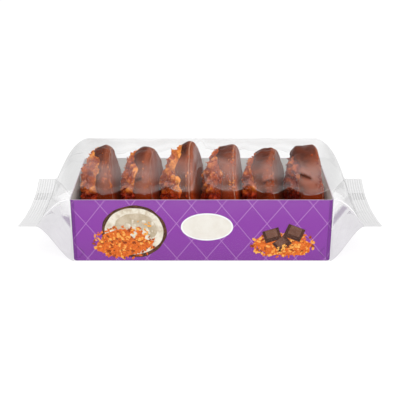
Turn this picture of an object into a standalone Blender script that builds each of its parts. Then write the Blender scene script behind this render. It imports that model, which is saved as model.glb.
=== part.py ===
"""Sealed pack of six chocolate-dipped coconut macaroons, standing on edge in a printed card tray.

Metres, +Z up. X runs along the pack, and the tray's long printed front faces -Y. The origin is the middle
of the underside. The macaroons stand in a row with their chocolate bases towards +X, leaning towards -X.
"""

import math
from dataclasses import dataclass

import bmesh
import bpy
from mathutils import Matrix, Vector, noise

MM = 0.001

# Card tray: an open box folded from printed board
TRAY_LENGTH = 200.0 * MM
TRAY_DEPTH = 91.0 * MM
TRAY_HEIGHT = 51.5 * MM
CARD_THICKNESS = 0.7 * MM
TRAY_CORNER_RADIUS = 3.0 * MM
TRAY_CORNER_STEPS = 4

# Clear film wrap, with the air that it holds above and beyond the tray
FILM_GAP = 0.3 * MM
WRAP_HALF_DEPTH = TRAY_DEPTH / 2 + 0.5 * MM
CREST_HEIGHT = 83.5 * MM
CREST_HALF_LENGTH = 90.0 * MM
BOTTOM_CREASE_CURVE = 0.25
SEAL_HEIGHT = 31.0 * MM
SEAL_INNER_X = 125.3 * MM
SEAL_OUTER_X = 139.5 * MM
SEAL_THICKNESS = 0.8 * MM
SEAL_BOW = 3.0 * MM
SEAL_SAG = 2.5 * MM
CRIMP_RIDGES = 5
CRIMP_HEIGHT = 0.35 * MM
GUSSET_DEPTH = 40.0 * MM
GUSSET_TRAY_HEIGHT = 27.0 * MM
GUSSET_END_X = SEAL_INNER_X - 5.0 * MM
SLOPE_STATIONS = 8
MIDDLE_STATIONS = 4
ARCH_STEPS = 18
ARCH_WIDTH_POWER = 1.25
ARCH_RISE_POWER = 1.35
SIDE_STEPS = 3
UNDERSIDE_STEPS = 4

# Macaroons. Waves round one are (lobes, size, how far the seed turns them)
SEGMENTS = 32
OUTLINE_WAVES = ((2, 0.012, 1), (5, 0.010, 3))
PEAK_WIDTH = 0.30
SECTION_STEP = 0.01
BASE_FLAT_END = 0.5
COAT_THICKNESS = 1.5 * MM
COAT_GAP = 0.3 * MM
CRUST_INSET = 0.5 * MM
BORDER_STEP = 0.10
BORDER_WAVES = ((3, 1.6 * MM, 1), (7, 1.1 * MM, 2))
BORDER_HIGHEST_SHARE = 0.9
COATED_STATIONS = (BASE_FLAT_END, 0.75, 1.0)
COATED_BAND_SHARES = (0.5, 1.0)
CRUST_SHARES = (0.0, 0.18, 0.36, 0.53, 0.69, 0.83, 0.94)
CRUST_LUMP = 1.8 * MM
CRUST_LUMP_SIZE = 8.0 * MM
COAT_LUMP = 0.7 * MM
COAT_LUMP_SIZE = 17.0 * MM
POCKET_CLEARANCE = 2.4 * MM
POCKET_SEGMENTS = 24
POCKET_STATIONS = (BASE_FLAT_END, 0.75, 1.0, 2.0, 2.35, 2.7)
FLOOR_CLEARANCE = 0.3 * MM

# Angles up to which neighbouring faces are shaded smooth, in degrees
CARD_SMOOTH = 40
FILM_SMOOTH = 25
MACAROON_SMOOTH = 50


@dataclass
class Macaroon:
    """One macaroon: where its flat base is centred, how it leans and turns, and its own uneven form."""

    base_x: float
    lean: float
    turn: float
    radius: float
    thickness: float
    edge: float
    band: float
    slant: float
    dome: float
    chocolate: float
    peak: float
    seed: int

    @property
    def shoulder(self):
        """Height above the base where the upright band ends and the dome begins."""
        return self.edge + self.band


MACAROONS = [
    Macaroon(-66.5 * MM, 9.0, 2.0, 37.4 * MM, 30.5 * MM, 5 * MM, 4 * MM, 0.02, 2.0, 12 * MM, 0.010, 11),
    Macaroon(-34.0 * MM, 9.0, 4.0, 36.9 * MM, 31.0 * MM, 5 * MM, 2 * MM, 0.00, 2.0, 14 * MM, 0.000, 23),
    Macaroon(-0.8 * MM, 7.0, 5.0, 37.8 * MM, 31.5 * MM, 5 * MM, 0.5 * MM, 0.00, 1.7, 10 * MM, 0.100, 37),
    Macaroon(32.0 * MM, 7.0, 4.0, 37.4 * MM, 31.5 * MM, 4 * MM, 11 * MM, 0.00, 1.8, 15 * MM, 0.020, 41),
    Macaroon(64.2 * MM, 10.5, 8.0, 36.7 * MM, 31.0 * MM, 4 * MM, 4 * MM, 0.00, 2.1, 18 * MM, 0.020, 59),
    Macaroon(95.2 * MM, 6.0, 0.5, 37.4 * MM, 28.3 * MM, 2.5 * MM, 13 * MM, 0.00, 1.8, 20 * MM, 0.000, 67),
]


# Helpers that turn rings of points into meshes and objects


def skin(rings):
    """A closed mesh of triangles that join each ring of points to the next. A ring of one point is a pole."""
    mesh = bmesh.new()
    loops = [[mesh.verts.new(point) for point in ring] for ring in rings]
    for here, there in zip(loops, loops[1:]):
        count = max(len(here), len(there))
        for i in range(count):
            j = (i + 1) % count
            if len(here) > 1:
                mesh.faces.new([here[i], here[j], there[j % len(there)]])
            if len(there) > 1:
                mesh.faces.new([here[i % len(here)], there[j], there[i]])
    for end in (loops[0], loops[-1]):
        if len(end) > 1:
            mesh.faces.new(end)
    bmesh.ops.recalc_face_normals(mesh, faces=mesh.faces)
    return mesh


def add_object(name, mesh, material=None, smooth_degrees=None):
    """Makes a named object of a bmesh and links it to the scene."""
    data = bpy.data.meshes.new(name)
    mesh.to_mesh(data)
    mesh.free()
    if smooth_degrees is not None:
        data.shade_smooth()
        data.set_sharp_from_angle(angle=math.radians(smooth_degrees))
    if material is not None:
        data.materials.append(material)
    made = bpy.data.objects.new(name, data)
    bpy.context.scene.collection.objects.link(made)
    return made


def make_material(name, colour, roughness, alpha=1.0):
    """A Principled BSDF of one colour, roughness and see-through share."""
    material = bpy.data.materials.new(name)
    material.use_nodes = True
    shader = material.node_tree.nodes["Principled BSDF"]
    shader.inputs["Base Color"].default_value = (*colour, 1.0)
    shader.inputs["Roughness"].default_value = roughness
    shader.inputs["Metallic"].default_value = 0.0
    shader.inputs["Alpha"].default_value = alpha
    return material


# Card tray


def tray_outline(inset, height):
    """The tray's plan, a rectangle with rounded corners, as a ring of points."""
    radius = TRAY_CORNER_RADIUS - inset
    reach = Vector((TRAY_LENGTH / 2 - TRAY_CORNER_RADIUS, TRAY_DEPTH / 2 - TRAY_CORNER_RADIUS))
    ring = []
    for quarter, (side_x, side_y) in enumerate([(1, 1), (-1, 1), (-1, -1), (1, -1)]):
        for step in range(TRAY_CORNER_STEPS + 1):
            angle = math.radians(90) * (quarter + step / TRAY_CORNER_STEPS)
            x = side_x * reach.x + radius * math.cos(angle)
            y = side_y * reach.y + radius * math.sin(angle)
            ring.append(Vector((x, y, height)))
    return ring


def make_tray(material):
    """Floor and four upright walls of board, open at the top."""
    mesh = skin([
        tray_outline(0, 0),
        tray_outline(0, TRAY_HEIGHT),
        tray_outline(CARD_THICKNESS, TRAY_HEIGHT),
        tray_outline(CARD_THICKNESS, CARD_THICKNESS),
    ])
    return add_object("card_tray", mesh, material, CARD_SMOOTH)


# Film wrap


def share_from_seal(x, reach):
    """0 at the end seal and 1 at reach, where the slope meets the full section."""
    return min(1.0, max(0.0, (SEAL_INNER_X - abs(x)) / (SEAL_INNER_X - reach)))


def crest_height(x):
    """Top of the film along the middle of the pack."""
    share = share_from_seal(x, CREST_HALF_LENGTH)
    return SEAL_HEIGHT + (CREST_HEIGHT - SEAL_HEIGHT) * math.sin(share * math.pi / 2)


def top_crease_height(x):
    """The fold that runs from the tray's upper corner to the seal's corner."""
    share = share_from_seal(x, TRAY_LENGTH / 2)
    return SEAL_HEIGHT + (TRAY_HEIGHT - SEAL_HEIGHT) * math.sin(share * math.pi / 2)


def bottom_crease_height(x):
    """The fold that runs from the tray's lower corner to the seal's corner."""
    share = share_from_seal(x, TRAY_LENGTH / 2)
    straight = (1 - BOTTOM_CREASE_CURVE) * share
    return SEAL_HEIGHT * (1 - straight - BOTTOM_CREASE_CURVE * math.sin(share * math.pi / 2))


def gusset(x):
    """How far in and how high the side film is tucked at x."""
    share = share_from_seal(x, TRAY_LENGTH / 2)
    height = SEAL_HEIGHT + (GUSSET_TRAY_HEIGHT - SEAL_HEIGHT) * share
    depth = GUSSET_DEPTH * (1 - share) if abs(x) <= GUSSET_END_X else 0.0
    return depth, height


def between(start, end, steps):
    """Points from start up to but not including end, evenly spaced."""
    return [start.lerp(end, step / steps) for step in range(steps)]


def bowed(point):
    """The seals curve inwards and hang a little at the middle of their length."""
    towards_seal = 1 - share_from_seal(point.x, TRAY_LENGTH / 2)
    middle = max(0.0, 1 - (point.y / WRAP_HALF_DEPTH) ** 2)
    shift = towards_seal * middle
    inwards = math.copysign(SEAL_BOW * shift, point.x)
    return Vector((point.x - inwards, point.y, point.z - SEAL_SAG * shift))


def wrap_ring(x, lift=0.0):
    """The film's section at x: underside, tucked front, arched top and tucked back."""
    half_seal = SEAL_THICKNESS / 2
    top = max(top_crease_height(x), SEAL_HEIGHT + half_seal) + lift
    bottom = min(bottom_crease_height(x), SEAL_HEIGHT - half_seal) + lift
    rise = max(crest_height(x) + lift - top, 0.0)
    depth, height = gusset(x)
    edge = WRAP_HALF_DEPTH
    front = between(Vector((x, -edge, bottom)), Vector((x, depth - edge, height + lift)), SIDE_STEPS)
    front += between(Vector((x, depth - edge, height + lift)), Vector((x, -edge, top)), SIDE_STEPS)
    arch = []
    for step in range(ARCH_STEPS):
        angle = math.pi * step / ARCH_STEPS
        across = math.copysign(abs(math.cos(angle)) ** ARCH_WIDTH_POWER, math.cos(angle))
        arch.append(Vector((x, -edge * across, top + rise * math.sin(angle) ** ARCH_RISE_POWER)))
    back = between(Vector((x, edge, top)), Vector((x, edge - depth, height + lift)), SIDE_STEPS)
    back += between(Vector((x, edge - depth, height + lift)), Vector((x, edge, bottom)), SIDE_STEPS)
    under = between(Vector((x, edge, bottom)), Vector((x, -edge, bottom)), UNDERSIDE_STEPS)
    return [bowed(point) for point in front + arch + back + under]


def wrap_stations():
    """Places along the right half of the pack where the section is drawn, with the crimp's lift at each."""
    stations = [(CREST_HALF_LENGTH * step / MIDDLE_STATIONS, 0.0) for step in range(MIDDLE_STATIONS)]
    for step in range(SLOPE_STATIONS + 1):
        share = step / SLOPE_STATIONS
        stations.append((CREST_HALF_LENGTH + (GUSSET_END_X - CREST_HALF_LENGTH) * share, 0.0))
    crimps = 2 * CRIMP_RIDGES
    for step in range(crimps + 1):
        x = SEAL_INNER_X + (SEAL_OUTER_X - SEAL_INNER_X) * step / crimps
        stations.append((x, CRIMP_HEIGHT * (step % 2)))
    return stations


def make_wrap(material, cutters):
    """The wrap's outer form, less the tray's space and a pocket for each macaroon."""
    right = wrap_stations()
    left = [(-x, lift) for x, lift in reversed(right) if x > 0]
    mesh = skin([wrap_ring(x, lift) for x, lift in left + right])
    wrap = add_object("film_wrap", mesh, material, FILM_SMOOTH)
    cut = wrap.modifiers.new("contents", "BOOLEAN")
    cut.operation = "DIFFERENCE"
    cut.operand_type = "COLLECTION"
    cut.collection = cutters
    cut.solver = "EXACT"
    return wrap


def make_tray_space():
    """A block over the whole tray, which keeps the wrap's solid above its rim and beyond its ends."""
    mesh = bmesh.new()
    bmesh.ops.create_cube(mesh, size=1.0)
    size = Vector((TRAY_LENGTH + 2 * FILM_GAP, TRAY_DEPTH * 1.5, TRAY_HEIGHT * 2))
    bmesh.ops.scale(mesh, vec=size, verts=mesh.verts)
    bmesh.ops.translate(mesh, vec=(0, 0, FILM_GAP), verts=mesh.verts)
    return add_object("tray_space", mesh)


# Macaroons


def profile(m, t):
    """(radius, height) at station t of the section: 0 is the base, 1 its edge, 2 the shoulder, 3 the top."""
    flat = m.radius - m.edge
    if t <= BASE_FLAT_END:
        return flat * t / BASE_FLAT_END, 0.0
    if t <= 1:
        angle = (t - BASE_FLAT_END) / (1 - BASE_FLAT_END) * math.pi / 2
        return flat + m.edge * math.sin(angle), m.edge * (1 - math.cos(angle))
    if t <= 2:
        return m.radius * (1 - m.slant * (t - 1)), m.edge + m.band * (t - 1)
    angle = min(t - 2, 1.0) * math.pi / 2
    power = 2 / m.dome
    radius = m.radius * (1 - m.slant) * max(math.cos(angle), 0.0) ** power
    return radius, m.shoulder + (m.thickness - m.shoulder) * math.sin(angle) ** power


def waves(table, angle, seed):
    """The sum of the waves in a table, at an angle round the macaroon."""
    return sum(size * math.sin(lobes * angle + turn * seed) for lobes, size, turn in table)


def chocolate_border(m, angle):
    """The profile station where the chocolate ends, which wavers round the macaroon."""
    height = m.chocolate + waves(BORDER_WAVES, angle, m.seed)
    if height <= m.shoulder:
        return 1 + max(height - m.edge, 0) / m.band
    share = (height - m.shoulder) / (m.thickness - m.shoulder)
    return 2 + math.asin(min(share, BORDER_HIGHEST_SHARE) ** (m.dome / 2)) / (math.pi / 2)


def outline_factor(m, angle):
    """How far the rim departs from a circle, with any peak at the top."""
    from_top = math.remainder(angle - math.pi / 2, math.tau)
    peak = m.peak * math.exp(-((from_top / PEAK_WIDTH) ** 2))
    return 1 + waves(OUTLINE_WAVES, angle, m.seed) + peak


def surface_point(m, angle, t, inset, crusted=False):
    """A point of the macaroon in its own frame: base in the YZ plane, dome towards -X."""
    low = profile(m, max(t - SECTION_STEP, 0.0))
    high = profile(m, min(t + SECTION_STEP, 3.0))
    along = Vector((high[0] - low[0], high[1] - low[1])).normalized()
    radius, height = profile(m, t)
    radius *= outline_factor(m, angle)
    place = Vector((radius * math.cos(angle), radius * math.sin(angle), height))
    seed = Vector((m.seed, 0, 0))
    size, lump = (CRUST_LUMP_SIZE, CRUST_LUMP) if crusted else (COAT_LUMP_SIZE, COAT_LUMP)
    lump *= min(1.0, t)
    out = lump * noise.noise(place / size + seed) - inset
    radius += out * along.y
    height -= out * along.x
    return Vector((-height, radius * math.cos(angle), radius * math.sin(angle)))


def surface_ring(m, station, inset, segments=SEGMENTS, crusted=False):
    """A ring round the macaroon. station gives the profile station at each angle."""
    angles = [math.tau * step / segments for step in range(segments)]
    return [surface_point(m, angle, station(angle), inset, crusted) for angle in angles]


def level(station):
    """A ring at the same profile station all round."""
    return lambda angle: station


def coated_rings(m, inset):
    """Rings under or on the chocolate, from the base outwards to the border."""
    def towards_border(share):
        return lambda angle: 1 + (chocolate_border(m, angle) - 1) * share

    rings = [surface_ring(m, level(station), inset) for station in COATED_STATIONS]
    return rings + [surface_ring(m, towards_border(share), inset) for share in COATED_BAND_SHARES]


def base_pole(m, inset):
    """The middle of the base."""
    return [surface_point(m, 0.0, 0.0, inset)]


def macaroon_mesh(m):
    """Baked coconut: cut back where the chocolate lies, and lumpy above its border."""
    def above_border(share):
        def station(angle):
            start = chocolate_border(m, angle) + BORDER_STEP
            return start + (3 - start) * share
        return station

    under = COAT_THICKNESS + COAT_GAP
    rings = [base_pole(m, under), *coated_rings(m, under)]
    for share in CRUST_SHARES:
        rings.append(surface_ring(m, above_border(share), CRUST_INSET, crusted=True))
    rings.append([surface_point(m, 0.0, 3.0, CRUST_INSET, crusted=True)])
    return skin(rings)


def chocolate_mesh(m):
    """Milk chocolate: a shallow cup over the base and sides, with a wavering edge."""
    inside = [base_pole(m, COAT_THICKNESS), *coated_rings(m, COAT_THICKNESS)]
    outside = [base_pole(m, 0), *coated_rings(m, 0)]
    return skin(inside + outside[::-1])


def pocket_mesh(m):
    """The smooth space that one macaroon takes in the wrap."""
    grow = -POCKET_CLEARANCE
    rings = [base_pole(m, grow)]
    rings += [surface_ring(m, level(station), grow, POCKET_SEGMENTS) for station in POCKET_STATIONS]
    rings.append([surface_point(m, 0.0, 3.0, grow)])
    return skin(rings)


def standing_place(m, mesh):
    """The turn and place that stand a macaroon's mesh on the tray's floor."""
    turned = Matrix.Rotation(math.radians(-m.turn), 4, "Z") @ Matrix.Rotation(math.radians(-m.lean), 4, "Y")
    lowest = min((turned @ vert.co).z for vert in mesh.verts)
    height = CARD_THICKNESS + FLOOR_CLEARANCE - lowest
    return Matrix.Translation((m.base_x, 0, height)) @ turned


def make_macaroons(crust, chocolate, cutters):
    """Six coconut bodies with their chocolate coats, and the pockets that they need in the wrap."""
    for number, m in enumerate(MACAROONS, start=1):
        coat = chocolate_mesh(m)
        place = standing_place(m, coat)
        body = add_object(f"macaroon_{number}", macaroon_mesh(m), crust, MACAROON_SMOOTH)
        shell = add_object(f"chocolate_{number}", coat, chocolate, MACAROON_SMOOTH)
        pocket = add_object(f"macaroon_space_{number}", pocket_mesh(m))
        for made in (body, shell, pocket):
            made.matrix_world = place
        cutters.objects.link(pocket)


def hide_cutters(cutters):
    """Cutters are guides and not part of the pack."""
    for cutter in cutters.objects:
        cutter.hide_render = True
        cutter.display_type = "WIRE"
    cutters.hide_render = True


def main():
    for old in list(bpy.data.objects):
        bpy.data.objects.remove(old)
    card = make_material("printed_card", (0.27, 0.08, 0.37), 0.5)
    crust = make_material("toasted_coconut", (0.55, 0.20, 0.06), 0.85)
    chocolate = make_material("milk_chocolate", (0.18, 0.065, 0.035), 0.35)
    film = make_material("clear_film", (0.85, 0.85, 0.85), 0.15, alpha=0.3)
    cutters = bpy.data.collections.new("cutters")
    bpy.context.scene.collection.children.link(cutters)
    make_tray(card)
    make_macaroons(crust, chocolate, cutters)
    cutters.objects.link(make_tray_space())
    make_wrap(film, cutters)
    hide_cutters(cutters)


main()
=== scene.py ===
"""Looks of a sealed pack of six chocolate-dipped coconut macaroons in a printed card tray.

Metres, +Z up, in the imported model's own frame. X runs along the pack, and the long printed front faces -Y.
"""

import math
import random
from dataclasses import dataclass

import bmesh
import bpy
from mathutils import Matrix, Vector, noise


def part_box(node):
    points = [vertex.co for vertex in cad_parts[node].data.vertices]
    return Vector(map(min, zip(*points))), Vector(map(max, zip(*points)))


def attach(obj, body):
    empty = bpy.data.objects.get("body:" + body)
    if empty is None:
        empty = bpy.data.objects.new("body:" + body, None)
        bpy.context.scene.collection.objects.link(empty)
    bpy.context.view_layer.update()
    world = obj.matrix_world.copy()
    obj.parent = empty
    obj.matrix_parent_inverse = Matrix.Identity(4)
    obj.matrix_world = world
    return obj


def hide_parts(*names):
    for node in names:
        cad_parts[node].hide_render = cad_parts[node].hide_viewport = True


bl_info = {
    "name": "Coconut Macaroon Pack",
    "version": (1, 0, 0),
    "blender": (4, 5, 0),
    "location": "3D View > Sidebar > Macaroons",
    "description": "Film, printed tray, baked coconut and milk chocolate of a pack of macaroons",
    "category": "Object",
}

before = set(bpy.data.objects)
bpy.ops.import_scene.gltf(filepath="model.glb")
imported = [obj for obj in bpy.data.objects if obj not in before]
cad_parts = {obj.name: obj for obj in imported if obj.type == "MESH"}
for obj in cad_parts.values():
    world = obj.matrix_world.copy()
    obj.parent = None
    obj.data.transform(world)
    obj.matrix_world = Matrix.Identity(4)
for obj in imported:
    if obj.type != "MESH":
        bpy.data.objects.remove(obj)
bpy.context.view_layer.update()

MM = 0.001
WELD = 1e-7
BODY = "root"

# Card tray, from the frame
TRAY_LOW, TRAY_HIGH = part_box("card_tray")
TRAY_LENGTH = TRAY_HIGH.x - TRAY_LOW.x
TRAY_DEPTH = TRAY_HIGH.y - TRAY_LOW.y
TRAY_HEIGHT = TRAY_HIGH.z
CARD_THICKNESS = 0.7 * MM
TRAY_CORNER_RADIUS = 3.0 * MM
TRAY_CORNER_STEPS = 4
TRAY_FOOT_FOLD = 0.5 * MM

# Film, from the frame and from the folds that end at its seals
WRAP_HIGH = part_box("film_wrap")[1]
WRAP_HALF_DEPTH = WRAP_HIGH.y
CREST_HEIGHT = WRAP_HIGH.z
SEAL_OUTER_X = WRAP_HIGH.x
SEAL_INNER_X = SEAL_OUTER_X - 14.2 * MM
CREST_HALF_LENGTH = 90.0 * MM
BOTTOM_CREASE_CURVE = 0.65
SEAL_HEIGHT = 31.0 * MM
SEAL_THICKNESS = 0.8 * MM
SEAL_BOW = 2.2 * MM
SEAL_SAG = 2.5 * MM
SEAL_SHIFT = 1.3 * MM
SEAL_TILT = 0.9 * MM
CRIMP_RIDGES = 7
CRIMP_HEIGHT = 0.3 * MM
GUSSET_DEPTH = 40.0 * MM
GUSSET_TRAY_HEIGHT = 27.0 * MM
GUSSET_END_X = SEAL_INNER_X - 5.0 * MM
ARCH_WIDTH_POWER = 1.25
ARCH_RISE_POWER = 1.35
ARCH_STEPS = 84
SIDE_STEPS = 20
MIDDLE_STATIONS = 56
SLOPE_STATIONS = 46
STEPS_PER_RIDGE = 6
UNDER_TRAY = 0.1 * MM
LOWEST_FILM = -0.3 * MM
WIDEST_FILM = WRAP_HALF_DEPTH + 0.3 * MM
PLEAT_HEIGHT = 0.2 * MM
PLEAT_SIZE = (26 * MM, 7 * MM, 11 * MM)
RIPPLE_HEIGHT = 0.4 * MM
RIPPLE_SIZE = 17 * MM
SEAM_WIDTH = 13.0 * MM
SEAM_CENTRE = 15.5 * MM
SEAM_GAP = 0.15 * MM
SEAM_ROWS = 6
SEAM_DULL = 0.08
# Dark bars between the seam's crimp ridges: painted shade
SEAM_BARS_DULL = 0.9
SEAM_BARS = (0.2, 0.97)

# Veil over the macaroons, a painted reflection of a soft light laid on the film as white scatter, with how
# white it is at shares of VEIL_TOP, in mm above its edge
VEIL_CENTRE = -42.0 * MM
VEIL_PERIOD = 31.0 * MM
VEIL_LOW = 5.0 * MM
VEIL_SCALLOP = 4.5 * MM
VEIL_TOP = 26.0
VEIL_LEVELS = (
    (0.0, 0.70), (0.10, 0.66), (0.17, 0.26), (0.25, 0.22), (0.36, 0.62),
    (0.46, 0.86), (0.62, 0.86), (0.75, 0.24), (0.86, 0.07),
)
VEIL_END = 98.0 * MM
VEIL_FADE = 8.0 * MM
NO_VEIL = -20.0

# Middle, reach and rise of a stretch where the veil starts higher
BARE_GAP = (-1.8 * MM, 3.6 * MM, 13.0 * MM)

# Where film clings to food, on the plane of the tray's front: XZ centre and half sizes in mm, and the turn
CLINGS = ((77.6, 70.0, 4.8, 1.7, -32), (52.5, 66.0, 4.4, 1.5, 22))

# How far, in mm, such a place counts as lower, which puts it below the veil and leaves the painted reflection
# out there
CLING_DROP = 40.0

# How dull and how white the film is from place to place, and the stretches where that changes. Dullness is
# partly the slack film's own haze and partly painted shade, whiteness on the creases partly a painted
# highlight, and the front's tint the card's mirrored purple, painted
TOP_DULL = 0.19
DULL_ABOVE_ENDS = 0.41
DULL_LEFT = (60.0 * MM, 84.0 * MM)
DULL_RIGHT = (92.0 * MM, 104.0 * MM)
DULL_ON_SLOPE = 0.30
SLOPE_START = (94.0 * MM, 105.0 * MM)
SLOPE_CLEARS = (112.0 * MM, 120.0 * MM)
DULL_BEFORE_SEAL = 0.55
UNDERSIDE_DULL = 0.55
BACK_DULL = {"back_upper": 0.73, "back_lower": 0.25}
SEAL_DULL = 0.70
RIGHT_SEAL_DULL = 0.14
RIDGE_CLEARS = 0.45
LOWER_CREASE_DULL = 0.4
FRONT_SHADE = Vector((0.0, 0.14, 0.16))
CREASE_WHITE = 0.9
SEAL_WHITE = 0.03
END_SOFTNESS = 1.0 * MM
FRONT_OF_ARCH = 0.45
SCATTER_COLOUR = (0.95, 0.95, 0.95, 1.0)
FACET_EDGE = 0.9 * MM
FACET_REACH = 80.0 * MM

# Facets of the slack ends, painted bright where light falls on them, painted dark where shade falls, and
# painted purple where the card is mirrored: XZ corners in mm against the clock, then how white, tinted and
# dull the film is
FACETS = (
    (((-103.5, 82.0), (-111.5, 63.0), (-98.8, 56.6), (-85.5, 85.3)), 0.0, 0.0, 0.88),
    (((-111.8, 52.7), (-106.7, 49.7), (-99.8, 52.1), (-98.8, 56.8), (-105.7, 64.0)), 0.22, 0.0, 0.0),
    (((-115.0, 46.0), (-107.5, 49.9), (-112.1, 52.6)), 0.0, 0.0, 0.85),
    (((-106.5, 39.1), (-99.6, 38.0), (-100.3, 51.1), (-107.2, 48.5)), 0.58, 0.0, 0.0),
    (((-99.5, 26.5), (-99.2, 37.5), (-106.7, 38.4)), 0.0, 1.0, 0.3),
    (((84.5, 86.0), (96.5, 58.0), (112.5, 62.1), (103.5, 83.5)), 0.0, 0.0, 0.85),
    (((106.3, 49.5), (109.7, 55.2), (104.4, 61.7), (99.0, 58.5), (99.4, 51.7)), 0.12, 0.0, 0.2),
    (((110.6, 47.6), (113.9, 50.7), (110.4, 54.3), (107.4, 50.2)), 0.0, 0.15, 0.8),
    (((99.5, 37.4), (106.3, 47.1), (105.5, 48.8), (99.4, 51.1)), 0.55, 0.0, 0.0),
    (((98.9, 28.2), (110.4, 45.2), (106.8, 47.1), (98.9, 35.6)), 0.0, 0.9, 0.3),
)

# Macaroons. Waves round one are (lobes, size, how far the seed turns them)
OUTLINE_WAVES = ((2, 0.012, 1), (5, 0.010, 3))
PEAK_WIDTH = 0.36
SECTION_STEP = 0.01
BASE_FLAT_END = 0.5
COAT_THICKNESS = 1.5 * MM
COAT_GAP = 0.3 * MM
CRUST_INSET = 0.5 * MM
BORDER_WAVES = ((3, 1.6 * MM, 1), (7, 1.1 * MM, 2), (16, 0.5 * MM, 5), (29, 0.3 * MM, 7))
BORDER_HIGHEST_SHARE = 0.9
CRUST_LUMP = 1.7 * MM
CRUST_LUMP_SIZE = 9.0 * MM
CRUST_GRAIN = 0.25 * MM
CRUST_GRAIN_SIZE = 0.9 * MM
CLUMPS = ((6.6 * MM, 4.4 * MM), (2.7 * MM, 1.7 * MM))
CLUMP_MIDDLE = 0.30
COAT_LUMP = 1.7 * MM
COAT_LUMP_SIZE = 14.0 * MM
COAT_RUN = 0.9 * MM
COAT_RUN_WIDTH = 7.5 * MM
COAT_RUN_LENGTH = 22 * MM
COAT_BUMP = 0.7 * MM
COAT_BUMP_SIZE = 3.6 * MM
COAT_BUMPY_SIZE = 17 * MM
COAT_DENT = 0.8 * MM
COAT_DENT_SIZE = 6.5 * MM
RIDGE_SCALE = 15.7
FLOOR_CLEARANCE = 0.3 * MM
CRUST_COLUMNS = 330
CRUST_UNDER_ROWS = 12
CRUST_ROWS = 84
CRUST_OVERLAP = 0.12
CRUST_BARES = (-0.08, 0.03)
CRUST_ROUGHENS = (-0.02, 0.06)
TIP_EVENNESS = 12
COAT_COLUMNS = 200
COAT_ROW_POWER = 0.8
LIP_REACH = 0.03
COAT_OUTER_ROWS = 64
COAT_LIP_ROWS = 6
COAT_INNER_ROWS = 10

# Thick runs of chocolate, by a macaroon's seed: angle, slope, lowest and highest height in mm, and size in mm
DRIPS = {59: (2.49, 0.009, 1, 9, 1.4), 67: (2.48, -0.016, 8, 19.5, 2.0), 23: (2.45, 0.004, 6, 13, 0.8)}

# How far the coconut is baked along the pack: place in mm, then from scorched at 0 to golden at 1
BAKED_TONES = (
    (-85, 0.50), (-56, 0.43), (-46, 0.43), (-28, 0.63), (8, 0.48), (40, 0.46), (60, 0.36), (68, 0.12),
)
BAKED_REACH = 120.0 * MM
SHADE_SLOPE = 0.43

# Flakes of coconut: length, width and thickness in mm, then bend
SHRED_SHAPES = ((2.2, 1.1, 0.6, 0.4), (3.0, 0.9, 0.5, 0.7), (1.6, 1.2, 0.7, 0.2), (3.6, 0.8, 0.45, 0.9))
SHRED_LIFTS = (-0.05, 0.1, 0.2, 0.35)
SHRED_SIZES = (0.75, 1.15)
SHRED_TILT = 0.16
SHRED_START = 0.03
SHRED_END = 2.93
SHRED_CROWDING = 1.15

# Crumbs on the chocolate: lowest and highest values, with the likeliest third where one is set
CRUMB_HALF_TURNS = (0.55, 0.92, 0.86)
CRUMB_STATIONS = (0.50, 1.35)
CRUMB_SIZES = (0.3, 1.1, 0.5)
CRUMB_SQUASH = ((0.5, 1.0), (0.7, 1.5), (0.7, 1.6))
CRUMB_ROUGHNESS = 0.22 * MM
CRUMB_ROUGH_SIZE = 0.7 * MM
COCONUT_SPECULAR = 0.2
CHOCOLATE_SPECULAR = 0.04

# Floor and lights, the rectangular ones as (name, place, width and depth, power)
FLOOR_LEVEL = -0.4 * MM
FLOOR_HALF_WIDTH = 6.0
FLOOR_GLOW = 0.73
WORLD_STRENGTH = 0.70
SUN_STRENGTH = 1.35
SUN_WAY = Vector((0.0, 0.5, -1.0))
SUN_ANGLE = 35
LIGHT_TARGET = Vector((0.0, 0.0, 0.04))
LIGHTS = (
    ("top_light", (0.1, -0.35, 1.1), (1.0, 0.3), 1.6),
    ("left_light", (-0.9, -0.5, 0.6), (0.15, 0.8), 1.0),
    ("right_light", (0.9, -0.4, 0.5), (0.3, 0.8), 1.8),
)

# Camera, at the photograph's angle
VIEW_ELEVATION = math.radians(23.3)
VIEW_DISTANCE = 0.63
VIEW_LENS = 75.13
SENSOR = 36.0
VIEW_SHIFT = -1.8 / 400
VIEW_AWAY = Vector((0, -math.cos(VIEW_ELEVATION), math.sin(VIEW_ELEVATION)))
VIEW_PLACE = Vector((0, -TRAY_DEPTH / 2, TRAY_HEIGHT)) + VIEW_AWAY * VIEW_DISTANCE


@dataclass
class Macaroon:
    """One macaroon: where its flat base is centred, how it leans and turns, and its own uneven form."""

    base_x: float
    radius: float
    thickness: float
    edge: float
    band: float
    chocolate: float
    lean: float
    turn: float
    slant: float
    dome: float
    peak: float
    seed: int
    ridge: float
    crumbs: int

    @property
    def shoulder(self):
        """Height above the base where the upright band ends and the dome begins."""
        return self.edge + self.band


def macaroon(lengths, *form):
    """A macaroon from its lengths in mm, the first six values, and the rest of its form."""
    return Macaroon(*(length * MM for length in lengths), *form)


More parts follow.
